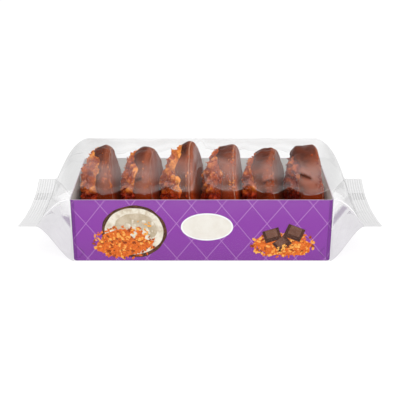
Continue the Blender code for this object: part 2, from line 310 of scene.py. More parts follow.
MACAROONS = [
    macaroon((-67.2, 37.4, 30.3, 5, 4, 10), 9.0, -1.0, 0.02, 1.85, -0.030, 11, 0.64, 40),
    macaroon((-34.0, 36.9, 31.0, 5, 2, 11.5), 9.0, 5.0, 0.00, 1.9, -0.048, 23, 0.62, 14),
    macaroon((-1.5, 37.8, 32.2, 5, 0.5, 10), 7.0, 6.5, 0.00, 1.8, 0.105, 37, 0.84, 8),
    macaroon((31.6, 37.4, 31.5, 4, 10, 12.7), 7.0, 5.0, 0.00, 1.6, -0.030, 41, 0.84, 36),
    macaroon((63.9, 36.7, 31.0, 4, 4, 13.4), 10.5, 10.5, 0.00, 2.1, -0.042, 59, 0.60, 32),
    macaroon((95.2, 37.4, 28.3, 2.5, 12, 17.5), 6.5, 0.5, 0.00, 1.7, 0.000, 67, 0.80, 70),
]


# Shared helpers


def clamp(value, low=0.0, high=1.0):
    return min(high, max(low, value))


def smooth(value, low, high):
    """0 below low and 1 above high, with a soft change between them."""
    share = clamp((value - low) / (high - low))
    return share * share * (3 - 2 * share)


def eased(share):
    """Steps that crowd together at both ends of a stretch."""
    return (1 - math.cos(math.pi * share)) / 2


def grid_skin(columns, rows, place, layers=()):
    """A bmesh grid whose corners are moved to place(column, row), given as shares.

    place returns the point, followed by one value for each of the named layers. Corners that meet are merged.
    """
    mesh = bmesh.new()
    bmesh.ops.create_grid(mesh, x_segments=columns, y_segments=rows, size=1.0)
    kept = [mesh.verts.layers.float.new(layer) for layer in layers]
    for vert in mesh.verts:
        column = round((vert.co.x + 1) / 2 * columns) / columns
        row = round((vert.co.y + 1) / 2 * rows) / rows
        point, *values = place(column, row)
        vert.co = point
        for layer, value in zip(kept, values):
            vert[layer] = value
    bmesh.ops.remove_doubles(mesh, verts=mesh.verts, dist=WELD)
    bmesh.ops.recalc_face_normals(mesh, faces=mesh.faces)
    return mesh


def mesh_data(name, mesh, materials=()):
    """Turns a finished bmesh into mesh data."""
    data = bpy.data.meshes.new(name)
    mesh.to_mesh(data)
    mesh.free()
    for material in materials:
        data.materials.append(material)
    return data


def add_object(name, data):
    """Puts a new object into the scene."""
    made = bpy.data.objects.new(name, data)
    bpy.context.scene.collection.objects.link(made)
    return made


def add_piece(name, mesh, materials, replaces=(), sharp_from=None):
    """Makes a piece of a finished bmesh, riding on the pack."""
    data = mesh_data(name, mesh, materials)
    if sharp_from is not None:
        data.shade_smooth()
        data.set_sharp_from_angle(angle=math.radians(sharp_from))
    piece = add_object(name, data)
    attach(piece, BODY)
    if replaces:
        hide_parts(*replaces)
    return piece


class Finish:
    """Builds the nodes of one material, or of the world."""

    def __init__(self, name, group="materials", output="OutputMaterial"):
        self.made = getattr(bpy.data, group).new(name)
        self.made.use_nodes = True
        self.tree = self.made.node_tree
        self.tree.nodes.clear()
        self.output = self.add(output)

    def add(self, kind, inputs=(), **settings):
        """A node with its settings and its inputs, each a value or another node's output."""
        node = self.tree.nodes.new("ShaderNode" + kind)
        for name, value in settings.items():
            setattr(node, name, value)
        for key, value in dict(inputs).items():
            if isinstance(value, bpy.types.NodeSocket):
                self.tree.links.new(value, node.inputs[key])
            else:
                node.inputs[key].default_value = value
        return node

    def place(self):
        """The point on the piece, in metres."""
        return self.add("TexCoord").outputs["Object"]

    def axes(self, vector=None):
        """The numbers of a vector, which is the point on the piece unless another is given."""
        return self.add("SeparateXYZ", {0: vector or self.place()}).outputs

    def value(self, name):
        """A value kept on the mesh by name."""
        return self.add("Attribute", attribute_name=name).outputs["Fac"]

    def math(self, operation, *values, limit=False):
        """The result of an operation, limited to 0 to 1 where limit is set."""
        return self.add("Math", dict(enumerate(values)), operation=operation, use_clamp=limit).outputs[0]

    def plus(self, first, second, limit=False):
        return self.math("ADD", first, second, limit=limit)

    def times(self, first, second):
        return self.math("MULTIPLY", first, second)

    def noise(self, size, detail=2.0, roughness=0.5, vector=None):
        """Soft noise whose lumps are about size across."""
        sockets = {"Scale": 1 / size, "Detail": detail, "Roughness": roughness}
        sockets["Vector"] = vector or self.place()
        return self.add("TexNoise", sockets).outputs["Fac"]

    def spread(self, value, low, high, to_low=0.0, to_high=1.0):
        """value from low to high, spread over another range and limited to it."""
        sockets = {"Value": value, "From Min": low, "From Max": high, "To Min": to_low, "To Max": to_high}
        return self.add("MapRange", sockets).outputs["Result"]

    def ramp(self, value, stops):
        """Colours at places from 0 to 1."""
        node = self.add("ValToRGB", {"Fac": value})
        elements = node.color_ramp.elements
        for (where, colour), element in zip(stops, list(elements)):
            element.position = where
            element.color = (*colour, 1.0)
        for where, colour in stops[len(elements):]:
            elements.new(where).color = (*colour, 1.0)
        return node.outputs["Color"]

    def mix(self, share, first, second, blend="MIX"):
        """Mixes two colours, each a colour or another node's output."""
        colours = [c if isinstance(c, bpy.types.NodeSocket) else (*c, 1.0) for c in (first, second)]
        node = self.add("Mix", {0: share, 6: colours[0], 7: colours[1]}, data_type="RGBA", blend_type=blend)
        return node.outputs[2]

    def shaded(self, share, colour, shade):
        """The colour, multiplied by a shade as far as share says."""
        return self.mix(share, colour, self.mix(1.0, colour, shade, "MULTIPLY"))

    def bump(self, height, strength, distance):
        """A surface that rises with height."""
        sockets = {"Height": height, "Strength": strength, "Distance": distance}
        return self.add("Bump", sockets).outputs["Normal"]

    def blend(self, share, first, second):
        """Mixes two shader nodes."""
        return self.add("MixShader", {0: share, 1: first.outputs[0], 2: second.outputs[0]})

    def finish(self, shader):
        """Ends the material with a shader node and returns the material."""
        self.tree.links.new(shader.outputs[0], self.output.inputs["Surface"])
        return self.made

    def surface(self, colour, roughness, normal=None, specular=0.5):
        """Ends the material as an opaque surface and returns it."""
        sockets = {"Base Color": colour, "Roughness": roughness, "Specular IOR Level": specular}
        if normal is not None:
            sockets["Normal"] = normal
        return self.finish(self.add("BsdfPrincipled", sockets))


# Film


def share_from_seal(x, reach):
    """0 at the end seal and 1 at reach, where the slope meets the full section."""
    return clamp((SEAL_INNER_X - abs(x)) / (SEAL_INNER_X - reach))


def crest_height(x):
    """Top of the film along the middle of the pack."""
    share = share_from_seal(x, CREST_HALF_LENGTH)
    return SEAL_HEIGHT + (CREST_HEIGHT - SEAL_HEIGHT) * math.sin(share * math.pi / 2)


def top_crease_height(x):
    """The fold that runs from the tray's upper corner to the seal's corner."""
    share = share_from_seal(x, TRAY_LENGTH / 2)
    return SEAL_HEIGHT + (TRAY_HEIGHT - SEAL_HEIGHT) * math.sin(share * math.pi / 2)


def bottom_crease_height(x):
    """The fold that runs from the tray's lower corner to the seal's corner, in a long S."""
    share = share_from_seal(x, TRAY_LENGTH / 2)
    level = 1 - share
    return SEAL_HEIGHT * (level + BOTTOM_CREASE_CURVE * (smooth(level, 0, 1) - level)) - UNDER_TRAY * share


def gusset(x):
    """How far in and how high the side film is tucked at x."""
    share = share_from_seal(x, TRAY_LENGTH / 2)
    height = SEAL_HEIGHT + (GUSSET_TRAY_HEIGHT - SEAL_HEIGHT) * share
    tucked = GUSSET_DEPTH * (1 - share) * smooth(SEAL_INNER_X - abs(x), 0, SEAL_INNER_X - GUSSET_END_X)
    return tucked, height


def bowed(point):
    """The seals stand a little to one side and tilt, and curve inwards and hang at their middle."""
    towards_seal = 1 - share_from_seal(point.x, TRAY_LENGTH / 2)
    across = point.y / WRAP_HALF_DEPTH
    middle = max(0.0, 1 - across ** 2) * towards_seal ** 2.5
    inwards = math.copysign(SEAL_BOW * middle, point.x)
    shift = Vector((-SEAL_SHIFT, 0, SEAL_TILT * (across - 0.3))) * towards_seal
    return point + shift - Vector((inwards, 0, SEAL_SAG * middle))


RING_PARTS = (
    ("front_upper", SIDE_STEPS),
    ("arch", ARCH_STEPS),
    ("back_upper", SIDE_STEPS),
    ("back_lower", SIDE_STEPS),
    ("underside", ARCH_STEPS),
    ("front_lower", SIDE_STEPS),
)
RING_STEPS = sum(steps for part, steps in RING_PARTS)


def ring_part(step):
    """The part of the film's section that a step round it lies in, and the share along that part."""
    for part, steps in RING_PARTS:
        if step <= steps:
            return part, step / steps
        step -= steps
    return part, 1.0


def across_seal(x):
    """0 at the inner edge of an end seal and 1 at the end of the film."""
    return clamp((abs(x) - SEAL_INNER_X) / (SEAL_OUTER_X - SEAL_INNER_X))


def ridge_share(x):
    """From 0 between the ridges crimped across an end seal to 1 on them."""
    return (1 - math.cos(math.tau * CRIMP_RIDGES * across_seal(x))) / 2


def film_point(x, step):
    """A point of the film at x, a whole number of steps round its section."""
    part, share = ring_part(step)
    half_seal = SEAL_THICKNESS / 2 * (1 - smooth(across_seal(x), 0.95, 1.0))
    lift = CRIMP_HEIGHT * ridge_share(x)
    top = max(top_crease_height(x), SEAL_HEIGHT + half_seal) + lift
    bottom = min(bottom_crease_height(x), SEAL_HEIGHT - half_seal) + lift
    depth, height = gusset(x)
    edge = WRAP_HALF_DEPTH
    corners = {
        "fold": Vector((x, depth - edge, height + lift)),
        "top": Vector((x, -edge, top)),
        "bottom": Vector((x, -edge, bottom)),
    }
    angle = math.pi * share
    swing = math.copysign(abs(math.cos(angle)) ** ARCH_WIDTH_POWER, math.cos(angle))
    if part == "arch":
        rise = max(crest_height(x) + lift - top, 0.0)
        point = Vector((x, -edge * swing, top + rise * math.sin(angle) ** ARCH_RISE_POWER))
    elif part == "underside":
        point = Vector((x, edge * swing, bottom))
    else:
        side, level = part.split("_")
        outer = corners["top" if level == "upper" else "bottom"]
        outwards = part in ("front_upper", "back_lower")
        start, end = (corners["fold"], outer) if outwards else (outer, corners["fold"])
        point = start.lerp(end, eased(share))
        if side == "back":
            point.y = -point.y
    return bowed(point)


def film_stations():
    """Places along the pack where the film's section is drawn."""
    half = [CREST_HALF_LENGTH * step / MIDDLE_STATIONS for step in range(MIDDLE_STATIONS)]
    slope = SEAL_INNER_X - CREST_HALF_LENGTH
    half += [CREST_HALF_LENGTH + slope * step / SLOPE_STATIONS for step in range(SLOPE_STATIONS)]
    crimps = CRIMP_RIDGES * STEPS_PER_RIDGE
    seal = SEAL_OUTER_X - SEAL_INNER_X
    half += [SEAL_INNER_X + seal * step / crimps for step in range(crimps + 1)]
    return [-x for x in reversed(half)] + half[1:]


def film_skin(rows, place):
    """A grid along the whole film, with its corners at place(x, row)."""
    stations = film_stations()
    last = len(stations) - 1
    # veil, white, tint and dull carry painted reflection, highlights and shade as well as the film's own haze
    layers = ("veil", "white", "tint", "dull")
    return grid_skin(last, rows, lambda column, row: place(stations[round(column * last)], row), layers)


def pucker(point):
    """How far the loose film stands out of its even form, with pleats that run towards the seals."""
    towards_seal = 1 - share_from_seal(point.x, CREST_HALF_LENGTH)
    on_seal = smooth(abs(point.x), SEAL_INNER_X - 4 * MM, SEAL_INNER_X)
    spot = Vector([length / size for length, size in zip(point, PLEAT_SIZE)])
    pleats = noise.noise(spot) * PLEAT_HEIGHT * towards_seal * (1 - on_seal)
    above_rim = smooth(point.z, TRAY_HEIGHT, TRAY_HEIGHT + 8 * MM)
    ripples = noise.noise(point / RIPPLE_SIZE) * RIPPLE_HEIGHT * above_rim * (1 - towards_seal)
    return pleats + ripples


def veil_edge(x):
    """Height above which the film carries the veil, a painted reflection, in scallops that follow the
    macaroons.
    """
    scallop = 1 - abs(math.cos(math.pi * (x - VEIL_CENTRE) / VEIL_PERIOD))
    middle, reach, rise = BARE_GAP
    gap = rise * math.exp(-(((x - middle) / reach) ** 4))
    wander = 1.2 * MM * math.sin(x / (23 * MM) + 1)
    return TRAY_HEIGHT + VEIL_LOW + VEIL_SCALLOP * scallop + gap + wander


def on_front_plane(point):
    """Where a point of the film lies in the photograph, in XZ on the plane of the tray's front.

    The clings and facets were measured there, so this finds the points of the film that belong to them.
    """
    return VIEW_PLACE.lerp(point, (-TRAY_DEPTH / 2 - VIEW_PLACE.y) / (point.y - VIEW_PLACE.y)).xz


def cling_share(point):
    """1 where the film clings to the food at its front."""
    if point.y > 0 or point.z < TRAY_HEIGHT:
        return 0.0
    seen = on_front_plane(point) / MM
    share = 0.0
    for x, z, half_x, half_z, turn in CLINGS:
        away = seen - Vector((x, z))
        away.rotate(Matrix.Rotation(math.radians(-turn), 2))
        share = max(share, 1 - smooth(math.hypot(away.x / half_x, away.y / half_z), 0.8, 1.2))
    return share


def inside_outline(place, corners, edge):
    """1 inside an outline of XZ corners that bulges everywhere, and 0 outside, over a soft edge."""
    ends = [Vector(corner) * MM for corner in corners]
    ways = [(start, end - start) for start, end in zip(ends, ends[1:] + ends[:1])]
    nearest = min(way.cross(place - start) / way.length for start, way in ways)
    return smooth(nearest, -edge, edge)


def arch_dullness(x):
    """How dull the film over the macaroons is, partly its own haze and partly painted shade towards the ends.
    """
    along = abs(x)
    above_end = smooth(along, *(DULL_LEFT if x < 0 else DULL_RIGHT))
    on_slope = smooth(along, *SLOPE_START) * (1 - 0.6 * smooth(along, *SLOPE_CLEARS))
    before_seal = 1 - smooth(abs(along - SEAL_INNER_X + 2.5 * MM), 0.5 * MM, 1.5 * MM)
    dullness = TOP_DULL + DULL_ABOVE_ENDS * above_end + DULL_ON_SLOPE * on_slope
    return max(dullness, DULL_BEFORE_SEAL * before_seal)


def film_shade(x, step, point):
    """How white, how tinted and how dull the film is at a place, partly as painted highlights, painted
    reflection of the card and painted shade.
    """
    part, share = ring_part(step)
    beyond = smooth(abs(x), TRAY_LENGTH / 2 - END_SOFTNESS, TRAY_LENGTH / 2)
    on_slope = share_from_seal(x, TRAY_LENGTH / 2)
    from_side = WRAP_HALF_DEPTH - abs(point.y)
    shade, crease = Vector((0.0, 0.0, 0.0)), 0.0
    if part == "arch":
        shade.z = arch_dullness(x)
        crease = 1 - smooth(math.hypot(point.z - top_crease_height(x), from_side), 0.3 * MM, 1.7 * MM)
    elif part == "underside":
        shade.z = beyond * (UNDERSIDE_DULL - 0.40 * smooth(on_slope, 0.1, 0.6))
    elif part in BACK_DULL:
        shade.z = beyond * BACK_DULL[part] * smooth(on_slope, 0.05, 0.6)
    else:
        shade = FRONT_SHADE * beyond
        if part == "front_upper":
            crease = 1 - smooth(from_side, 0.3 * MM, 1.0 * MM)
        else:
            # A dark band along the lower crease: painted shade
            shade.z += LOWER_CREASE_DULL * beyond * (1 - smooth(from_side, 0.3 * MM, 1.2 * MM))
    # The facets paint highlights, shade and the card's mirrored purple on the slack ends; the creases are
    # white partly from folding and partly as a painted highlight
    front = part.startswith("front") or (part == "arch" and share < FRONT_OF_ARCH)
    if front and (beyond or part == "arch" and abs(x) > FACET_REACH):
        seen = on_front_plane(point)
        for corners, *facet in FACETS:
            if corners[0][0] * x > 0:
                shade = shade.lerp(Vector(facet), inside_outline(seen, corners, FACET_EDGE))
        shade.x = max(shade.x, CREASE_WHITE * crease * beyond)
    # The seals are dull, darker on the right as painted shade, and clearer on the crimp ridges as painted
    # light
    seal_dullness = SEAL_DULL + RIGHT_SEAL_DULL * (x > 0) - RIDGE_CLEARS * ridge_share(x)
    on_seal = smooth(abs(x), SEAL_INNER_X - END_SOFTNESS, SEAL_INNER_X)
    return shade.lerp(Vector((SEAL_WHITE, 0.0, seal_dullness)), on_seal)


def make_film(film):
    """The clear film: one skin round tray and macaroons, gusseted sides and crimped end seals."""

    def place(x, row):
        step = round(row * RING_STEPS)
        point = film_point(x, step)
        above = (point.z - veil_edge(x)) / MM - CLING_DROP * cling_share(point)
        return point, above, *film_shade(x, step, point)

    mesh = film_skin(RING_STEPS, place)
    mesh.normal_update()
    moves = [(vert, vert.normal * pucker(vert.co)) for vert in mesh.verts]
    for vert, move in moves:
        vert.co += move
        vert.co.z = clamp(vert.co.z, LOWEST_FILM, CREST_HEIGHT)
        vert.co.y = clamp(vert.co.y, -WIDEST_FILM, WIDEST_FILM)
    return add_piece("film_sleeve", mesh, [film], ("film_wrap",), 40)


def make_back_seam(film):
    """The flap of film that is sealed along the underside and pressed into both end seals."""

    def place(x, row):
        y = SEAM_CENTRE + SEAM_WIDTH * (row - 0.5)
        ridge = ridge_share(x)
        bottom = min(bottom_crease_height(x), SEAL_HEIGHT - SEAL_THICKNESS / 2) + CRIMP_HEIGHT * ridge
        point = bowed(Vector((x, y, bottom)))
        point.z = max(point.z - SEAM_GAP, LOWEST_FILM)
        barred = SEAM_BARS[0] < across_seal(x) < SEAM_BARS[1]
        return point, NO_VEIL, 0.0, 0.0, SEAM_DULL + SEAM_BARS_DULL * (1 - ridge) * barred

    return add_piece("back_seam", film_skin(SEAM_ROWS, place), [film], ("film_wrap",), 40)


def film_finish(look):
    """Clear film: it dims what is behind a little, scatters light where it is folded, and shines. The veil
    over the macaroons, the thin line at its edge and the streaks at the slack ends are painted reflection and
    painted light.
    """
    finish = Finish("clear_film")
    # The veil: a painted reflection of a soft light over the macaroons, in patches
    above = finish.value("veil")
    levels = [(place, (level, level, level)) for place, level in VEIL_LEVELS]
    veil = finish.ramp(finish.math("DIVIDE", above, VEIL_TOP), levels)
    veil = finish.times(veil, finish.spread(above, -0.1, 0.8))
    patchy_reflection = finish.spread(finish.noise(16 * MM), 0.3, 0.7, 0.75 * look.veil, 1.25 * look.veil)
    outwards = finish.math("ABSOLUTE", finish.axes()[0])
    before_end = finish.spread(outwards, VEIL_END - VEIL_FADE, VEIL_END, 1.0, 0.0)
    veil = finish.times(finish.times(veil, patchy_reflection), before_end)
    # A thin painted highlight along the veil's edge, in patches
    patchy = finish.spread(finish.noise(9 * MM, 1.0), 0.48, 0.6, 0.0, 0.22)
    line = finish.times(finish.spread(finish.math("ABSOLUTE", above), 0.1, 0.5, 1.0, 0.0), patchy)
    # Painted light streaks at the slack ends, standing in for the shading of their pleats
    stretch = {0: finish.place(), 1: (0.12, 1.0, 0.9)}
    stretched = finish.add("VectorMath", stretch, operation="MULTIPLY").outputs[0]
    streaks = finish.spread(finish.noise(6 * MM, 1.0, vector=stretched), 0.45, 0.7, 0.0, 0.03)
    streaks = finish.times(streaks, finish.spread(outwards, TRAY_LENGTH / 2 - 3 * MM, SEAL_INNER_X - 14 * MM))
    scatter_and_painted_light = finish.plus(finish.plus(veil, line), finish.plus(finish.value("white"), streaks))
    clear = finish.mix(finish.value("dull"), look.clear_colour, look.dull_and_shade_colour)
    purple = finish.mix(finish.value("tint"), (1.0, 1.0, 1.0), look.mirrored_colour)
    through = finish.add("BsdfTransparent", {"Color": finish.mix(1.0, clear, purple, "MULTIPLY")})
    front = finish.add("BsdfDiffuse", {"Color": SCATTER_COLOUR})
    rear = finish.add("BsdfTranslucent", {"Color": SCATTER_COLOUR})
    body = finish.blend(finish.math("MINIMUM", scatter_and_painted_light, 0.95), through, finish.blend(0.2, front, rear))
    facing = finish.add("LayerWeight", {"Blend": 0.5}).outputs["Facing"]
    shine = finish.spread(finish.math("POWER", facing, 4.0), 0.0, 1.0, look.gloss, 0.25)
    gloss = finish.add("BsdfGlossy", {"Color": (1.0, 1.0, 1.0, 1.0), "Roughness": look.gloss_roughness})
    return finish.finish(finish.blend(shine, body, gloss))


# Printed tray


PERIMETER = 2 * (TRAY_LENGTH + TRAY_DEPTH - 4 * TRAY_CORNER_RADIUS) + math.tau * TRAY_CORNER_RADIUS
LATTICE_COUNT = 25
LATTICE_WIDTH = PERIMETER / LATTICE_COUNT
LATTICE_HEIGHT = 29.6 * MM
LATTICE_CROSSING = Vector((-7.85 * MM, 46.6 * MM))
LATTICE_LINE = 0.55 * MM
PRINT_SPECULAR = 0.2

# Inks and their pictures, all in mm. An ink has a dark and a light colour and the size of its blots
FIRST_INK = 0.03
INK_STEP = 0.02
FLAKE_LIFT = 0.0004
FLAKE_MARGIN = 1.8
FLAKE_STEPS = 7
PICTURE_STEPS = 64
SCORED_TAB = ((95.0, 11.4), (91.3, 7.4), (95.6, 2.6))
SCORED_LINE = 0.5
INKS = {
    "shell": ((0.060, 0.022, 0.012), (0.13, 0.05, 0.025), 3.0),
    "coconut": ((0.66, 0.56, 0.42), (0.86, 0.80, 0.68), 4.0),
    "coconut_shade": ((0.50, 0.40, 0.27), (0.66, 0.56, 0.42), 7.0),
    "toasted": ((0.62, 0.10, 0.010), (0.85, 0.20, 0.025), 2.0),
    "golden": ((0.88, 0.32, 0.04), (0.95, 0.50, 0.12), 2.0),
    "browned": ((0.24, 0.035, 0.006), (0.42, 0.08, 0.010), 2.0),
    "chocolate": ((0.060, 0.022, 0.014), (0.085, 0.030, 0.018), 5.0),
    "chocolate_shine": ((0.14, 0.058, 0.038), (0.20, 0.090, 0.060), 6.0),
    "plaque": ((0.82, 0.78, 0.70), (0.86, 0.83, 0.76), 9.0),
    "white": ((0.92, 0.92, 0.92), (0.95, 0.95, 0.95), 9.0),
    "fold": ((0.12, 0.03, 0.18), (0.14, 0.04, 0.20), 3.0),
}


def round_the_tray(x, y):
    """Distance round the tray's outline from the middle of its front, for x of 0 or more."""
    reach = Vector((TRAY_LENGTH / 2 - TRAY_CORNER_RADIUS, TRAY_DEPTH / 2 - TRAY_CORNER_RADIUS))
    quarter = TRAY_CORNER_RADIUS * math.pi / 2
    if x <= reach.x and y < 0:
        return x
    if x > reach.x and y < -reach.y:
        return reach.x + TRAY_CORNER_RADIUS * math.atan2(x - reach.x, -y - reach.y)
    if y <= reach.y:
        return reach.x + quarter + y + reach.y
    if x > reach.x:
        return reach.x + quarter + 2 * reach.y + TRAY_CORNER_RADIUS * math.atan2(y - reach.y, x - reach.x)
    return PERIMETER / 2 - x


def map_print(mesh):
    """Unwraps the tray: along its outline and upwards on the walls, and flat underneath."""
    layer = mesh.loops.layers.uv.new("print")
    for face in mesh.faces:
        side = math.copysign(1.0, face.calc_center_median().x)
        flat = abs(face.normal.z) > 0.9
        for loop in face.loops:
            place = loop.vert.co
            if flat:
                loop[layer].uv = (place.x, -place.y - TRAY_DEPTH / 2)
            else:
                loop[layer].uv = (side * round_the_tray(abs(place.x), place.y), place.z)


def bevel(mesh, edges, width, steps):
    """Rounds edges of a bmesh."""
    bmesh.ops.bevel(
        mesh, geom=edges, offset=width, offset_type="OFFSET", segments=steps,
        profile=0.5, affect="EDGES", material=-1, clamp_overlap=True,
    )


def make_tray(look):
    """The open box of printed board, with rounded upright corners."""
    mesh = bmesh.new()
    bmesh.ops.create_cube(mesh, size=1.0)
    bmesh.ops.scale(mesh, vec=(TRAY_LENGTH, TRAY_DEPTH, TRAY_HEIGHT), verts=mesh.verts)
    bmesh.ops.translate(mesh, vec=(0, 0, TRAY_HEIGHT / 2), verts=mesh.verts)
    top = [face for face in mesh.faces if face.normal.z > 0.5]
    bmesh.ops.delete(mesh, geom=top, context="FACES_ONLY")
    upright = [edge for edge in mesh.edges if abs(edge.verts[0].co.z - edge.verts[1].co.z) > TRAY_HEIGHT / 2]
    bevel(mesh, upright, TRAY_CORNER_RADIUS, TRAY_CORNER_STEPS)
    foot = [edge for edge in mesh.edges if max(vert.co.z for vert in edge.verts) < 1e-6]
    bevel(mesh, foot, TRAY_FOOT_FOLD, 2)
    everything = [*mesh.verts, *mesh.edges, *mesh.faces]
    bmesh.ops.bisect_plane(mesh, geom=everything, plane_co=(0, 0, 0), plane_no=(1, 0, 0), dist=1e-6)
    bmesh.ops.recalc_face_normals(mesh, faces=mesh.faces)
    if mesh.faces[0].normal.dot(mesh.faces[0].calc_center_median() - Vector((0, 0, TRAY_HEIGHT / 2))) < 0:
        bmesh.ops.reverse_faces(mesh, faces=mesh.faces)
    map_print(mesh)
    materials = [print_finish(look), board_finish(), cut_board_finish()]
    tray = add_piece("printed_tray", mesh, materials, ("card_tray",), 35)
    board = tray.modifiers.new("board", "SOLIDIFY")
    board.thickness = CARD_THICKNESS
    board.offset = -1.0
    board.use_even_offset = True
    board.material_offset = 1
    board.material_offset_rim = 2
    return tray


def lattice_share(finish, along_print, up_print):
    """1 on the thin lines of the diamond lattice."""
    along = finish.math("DIVIDE", finish.math("SUBTRACT", along_print, LATTICE_CROSSING.x), LATTICE_WIDTH)
    up = finish.math("DIVIDE", finish.math("SUBTRACT", up_print, LATTICE_CROSSING.y), LATTICE_HEIGHT)
    slope = math.hypot(1 / LATTICE_WIDTH, 1 / LATTICE_HEIGHT)
    half_line = LATTICE_LINE / 2 * slope
    lines = []
    for combined in (finish.math("ADD", along, up), finish.math("SUBTRACT", along, up)):
        nearest = finish.math("PINGPONG", combined, 0.5)
        lines.append(finish.spread(nearest, half_line * 0.6, half_line * 1.4, 1.0, 0.0))
    return finish.math("MAXIMUM", *lines)


def card_grain(finish):
    """The faint grain of coated card."""
    return finish.bump(finish.noise(0.35 * MM), 0.04, 0.05 * MM)


def print_finish(look):
    """Purple satin print with a pale diamond lattice, with painted shade where the card turns its corners."""
    finish = Finish("printed_card")
    uv = finish.axes(finish.add("UVMap", uv_map="print").outputs["UV"])
    mottled = finish.noise(9 * MM, 3.0)
    ground = finish.mix(mottled, look.ground, [c * 0.95 for c in look.ground])
    lattice = lattice_share(finish, uv[0], uv[1])
    lined = finish.mix(finish.times(lattice, 0.7), ground, look.lattice)
    round_half = finish.math("PINGPONG", uv[0], PERIMETER / 2)
    corner = TRAY_LENGTH / 2 - TRAY_CORNER_RADIUS
    turned = finish.spread(round_half, corner - 0.1 * MM, corner + 0.2 * MM)
    scored = finish.math("ABSOLUTE", finish.math("SUBTRACT", round_half, corner))
    scored = finish.spread(scored, 0.15 * MM, 0.4 * MM, 1.0, 0.0)
    # Painted shade on the card's rounded corners
    lined = finish.shaded(turned, lined, (0.78, 0.74, 0.80))
    lined = finish.mix(finish.times(scored, 0.7), lined, look.fold)
    roughness = finish.spread(mottled, 0.3, 0.7, 0.42, 0.5)
    return finish.surface(lined, roughness, card_grain(finish), PRINT_SPECULAR)


def ink_finish(name, dark, light, size):
    """Satin ink of two close colours in soft blots."""
    finish = Finish(name)
    blots = finish.spread(finish.noise(size * MM, 3.0, 0.6), 0.38, 0.62)
    return finish.surface(finish.mix(blots, dark, light), 0.45, card_grain(finish), PRINT_SPECULAR)


class Print:
    """Flat inks laid over each other on the tray's front, in named inks. Its lengths are in mm."""

    def __init__(self):
        self.mesh = bmesh.new()
        self.lift = FIRST_INK
        self.draw = random.Random(3)

    def next_ink(self):
        self.lift += INK_STEP

    def lay(self, verts, ink, centre, turn, shaped):
        """Moves each corner to shaped(corner), turned about a centre in XZ, and inks the faces."""
        for vert in verts:
            flat = shaped(vert.co)
            flat.rotate(Matrix.Rotation(math.radians(turn), 2))
            out = -TRAY_DEPTH / 2 - self.lift * MM
            vert.co = ((centre[0] + flat.x) * MM, out, (centre[1] + flat.y) * MM)
        for face in {face for vert in verts for face in vert.link_faces}:
            face.material_index = list(INKS).index(ink)

    def square(self, size):
        """The corners of a new square."""
        return bmesh.ops.create_grid(self.mesh, x_segments=1, y_segments=1, size=size / 2)["verts"]

    def blob(self, x, z, wide, high, ink, turn=0.0, waviness=0.0, steps=PICTURE_STEPS):
        """A round printed shape with a wavy outline."""
        verts = bmesh.ops.create_circle(self.mesh, cap_ends=True, segments=steps, radius=1.0)["verts"]
        start = self.draw.uniform(0, math.tau)

        def shaped(corner):
            angle = math.atan2(corner.y, corner.x)
            wave = math.sin(5 * angle + start) + 0.6 * math.sin(11 * angle + 2 * start)
            return Vector((corner.x * wide, corner.y * high)) * (1 + waviness * wave)

        self.lay(verts, ink, (x, z), turn, shaped)

    def picture(self, *blobs):
        """Round shapes laid over each other, the first of them on the card."""
        self.lift = FIRST_INK
        self.blob(*blobs[0])
        for blob in blobs[1:]:
            self.next_ink()
            self.blob(*blob)

    def flakes(self, x, z, wide, high, count, inks):
        """A loose patch of small printed flakes, thicker towards its middle."""
        for _ in range(count):
            angle, reach = self.draw.uniform(0, math.tau), self.draw.random() ** 0.6
            long = self.draw.uniform(0.7, 1.9)
            place = (x + wide * reach * math.cos(angle), z + high * reach * math.sin(angle))
            if FLAKE_MARGIN < place[1] < TRAY_HEIGHT / MM - FLAKE_MARGIN:
                self.lift += FLAKE_LIFT
                ink = self.draw.choice(inks)
                slim = long * self.draw.uniform(0.4, 0.8)
                self.blob(*place, long, slim, ink, self.draw.uniform(0, 180), 0.1, FLAKE_STEPS)

    def chunk(self, x, z, side, turn):
        """A broken square of chocolate: a dark block with a paler top."""
        for ink, size, raise_by in (("chocolate", 1.0, 0.0), ("chocolate_shine", 0.66, 0.12)):

            def shaped(corner):
                return Vector((corner.x, corner.y * 0.8 + raise_by * side))

            self.lay(self.square(side * size), ink, (x, z), turn, shaped)
            self.next_ink()

    def line(self, start, end, width, ink):
        """A thin straight printed line."""
        start, end = Vector(start), Vector(end)
        way = end - start
        beside = way.orthogonal().normalized() * width

        def shaped(corner):
            return way * corner.x + beside * corner.y

        self.lay(self.square(1.0), ink, (start + end) / 2, 0.0, shaped)


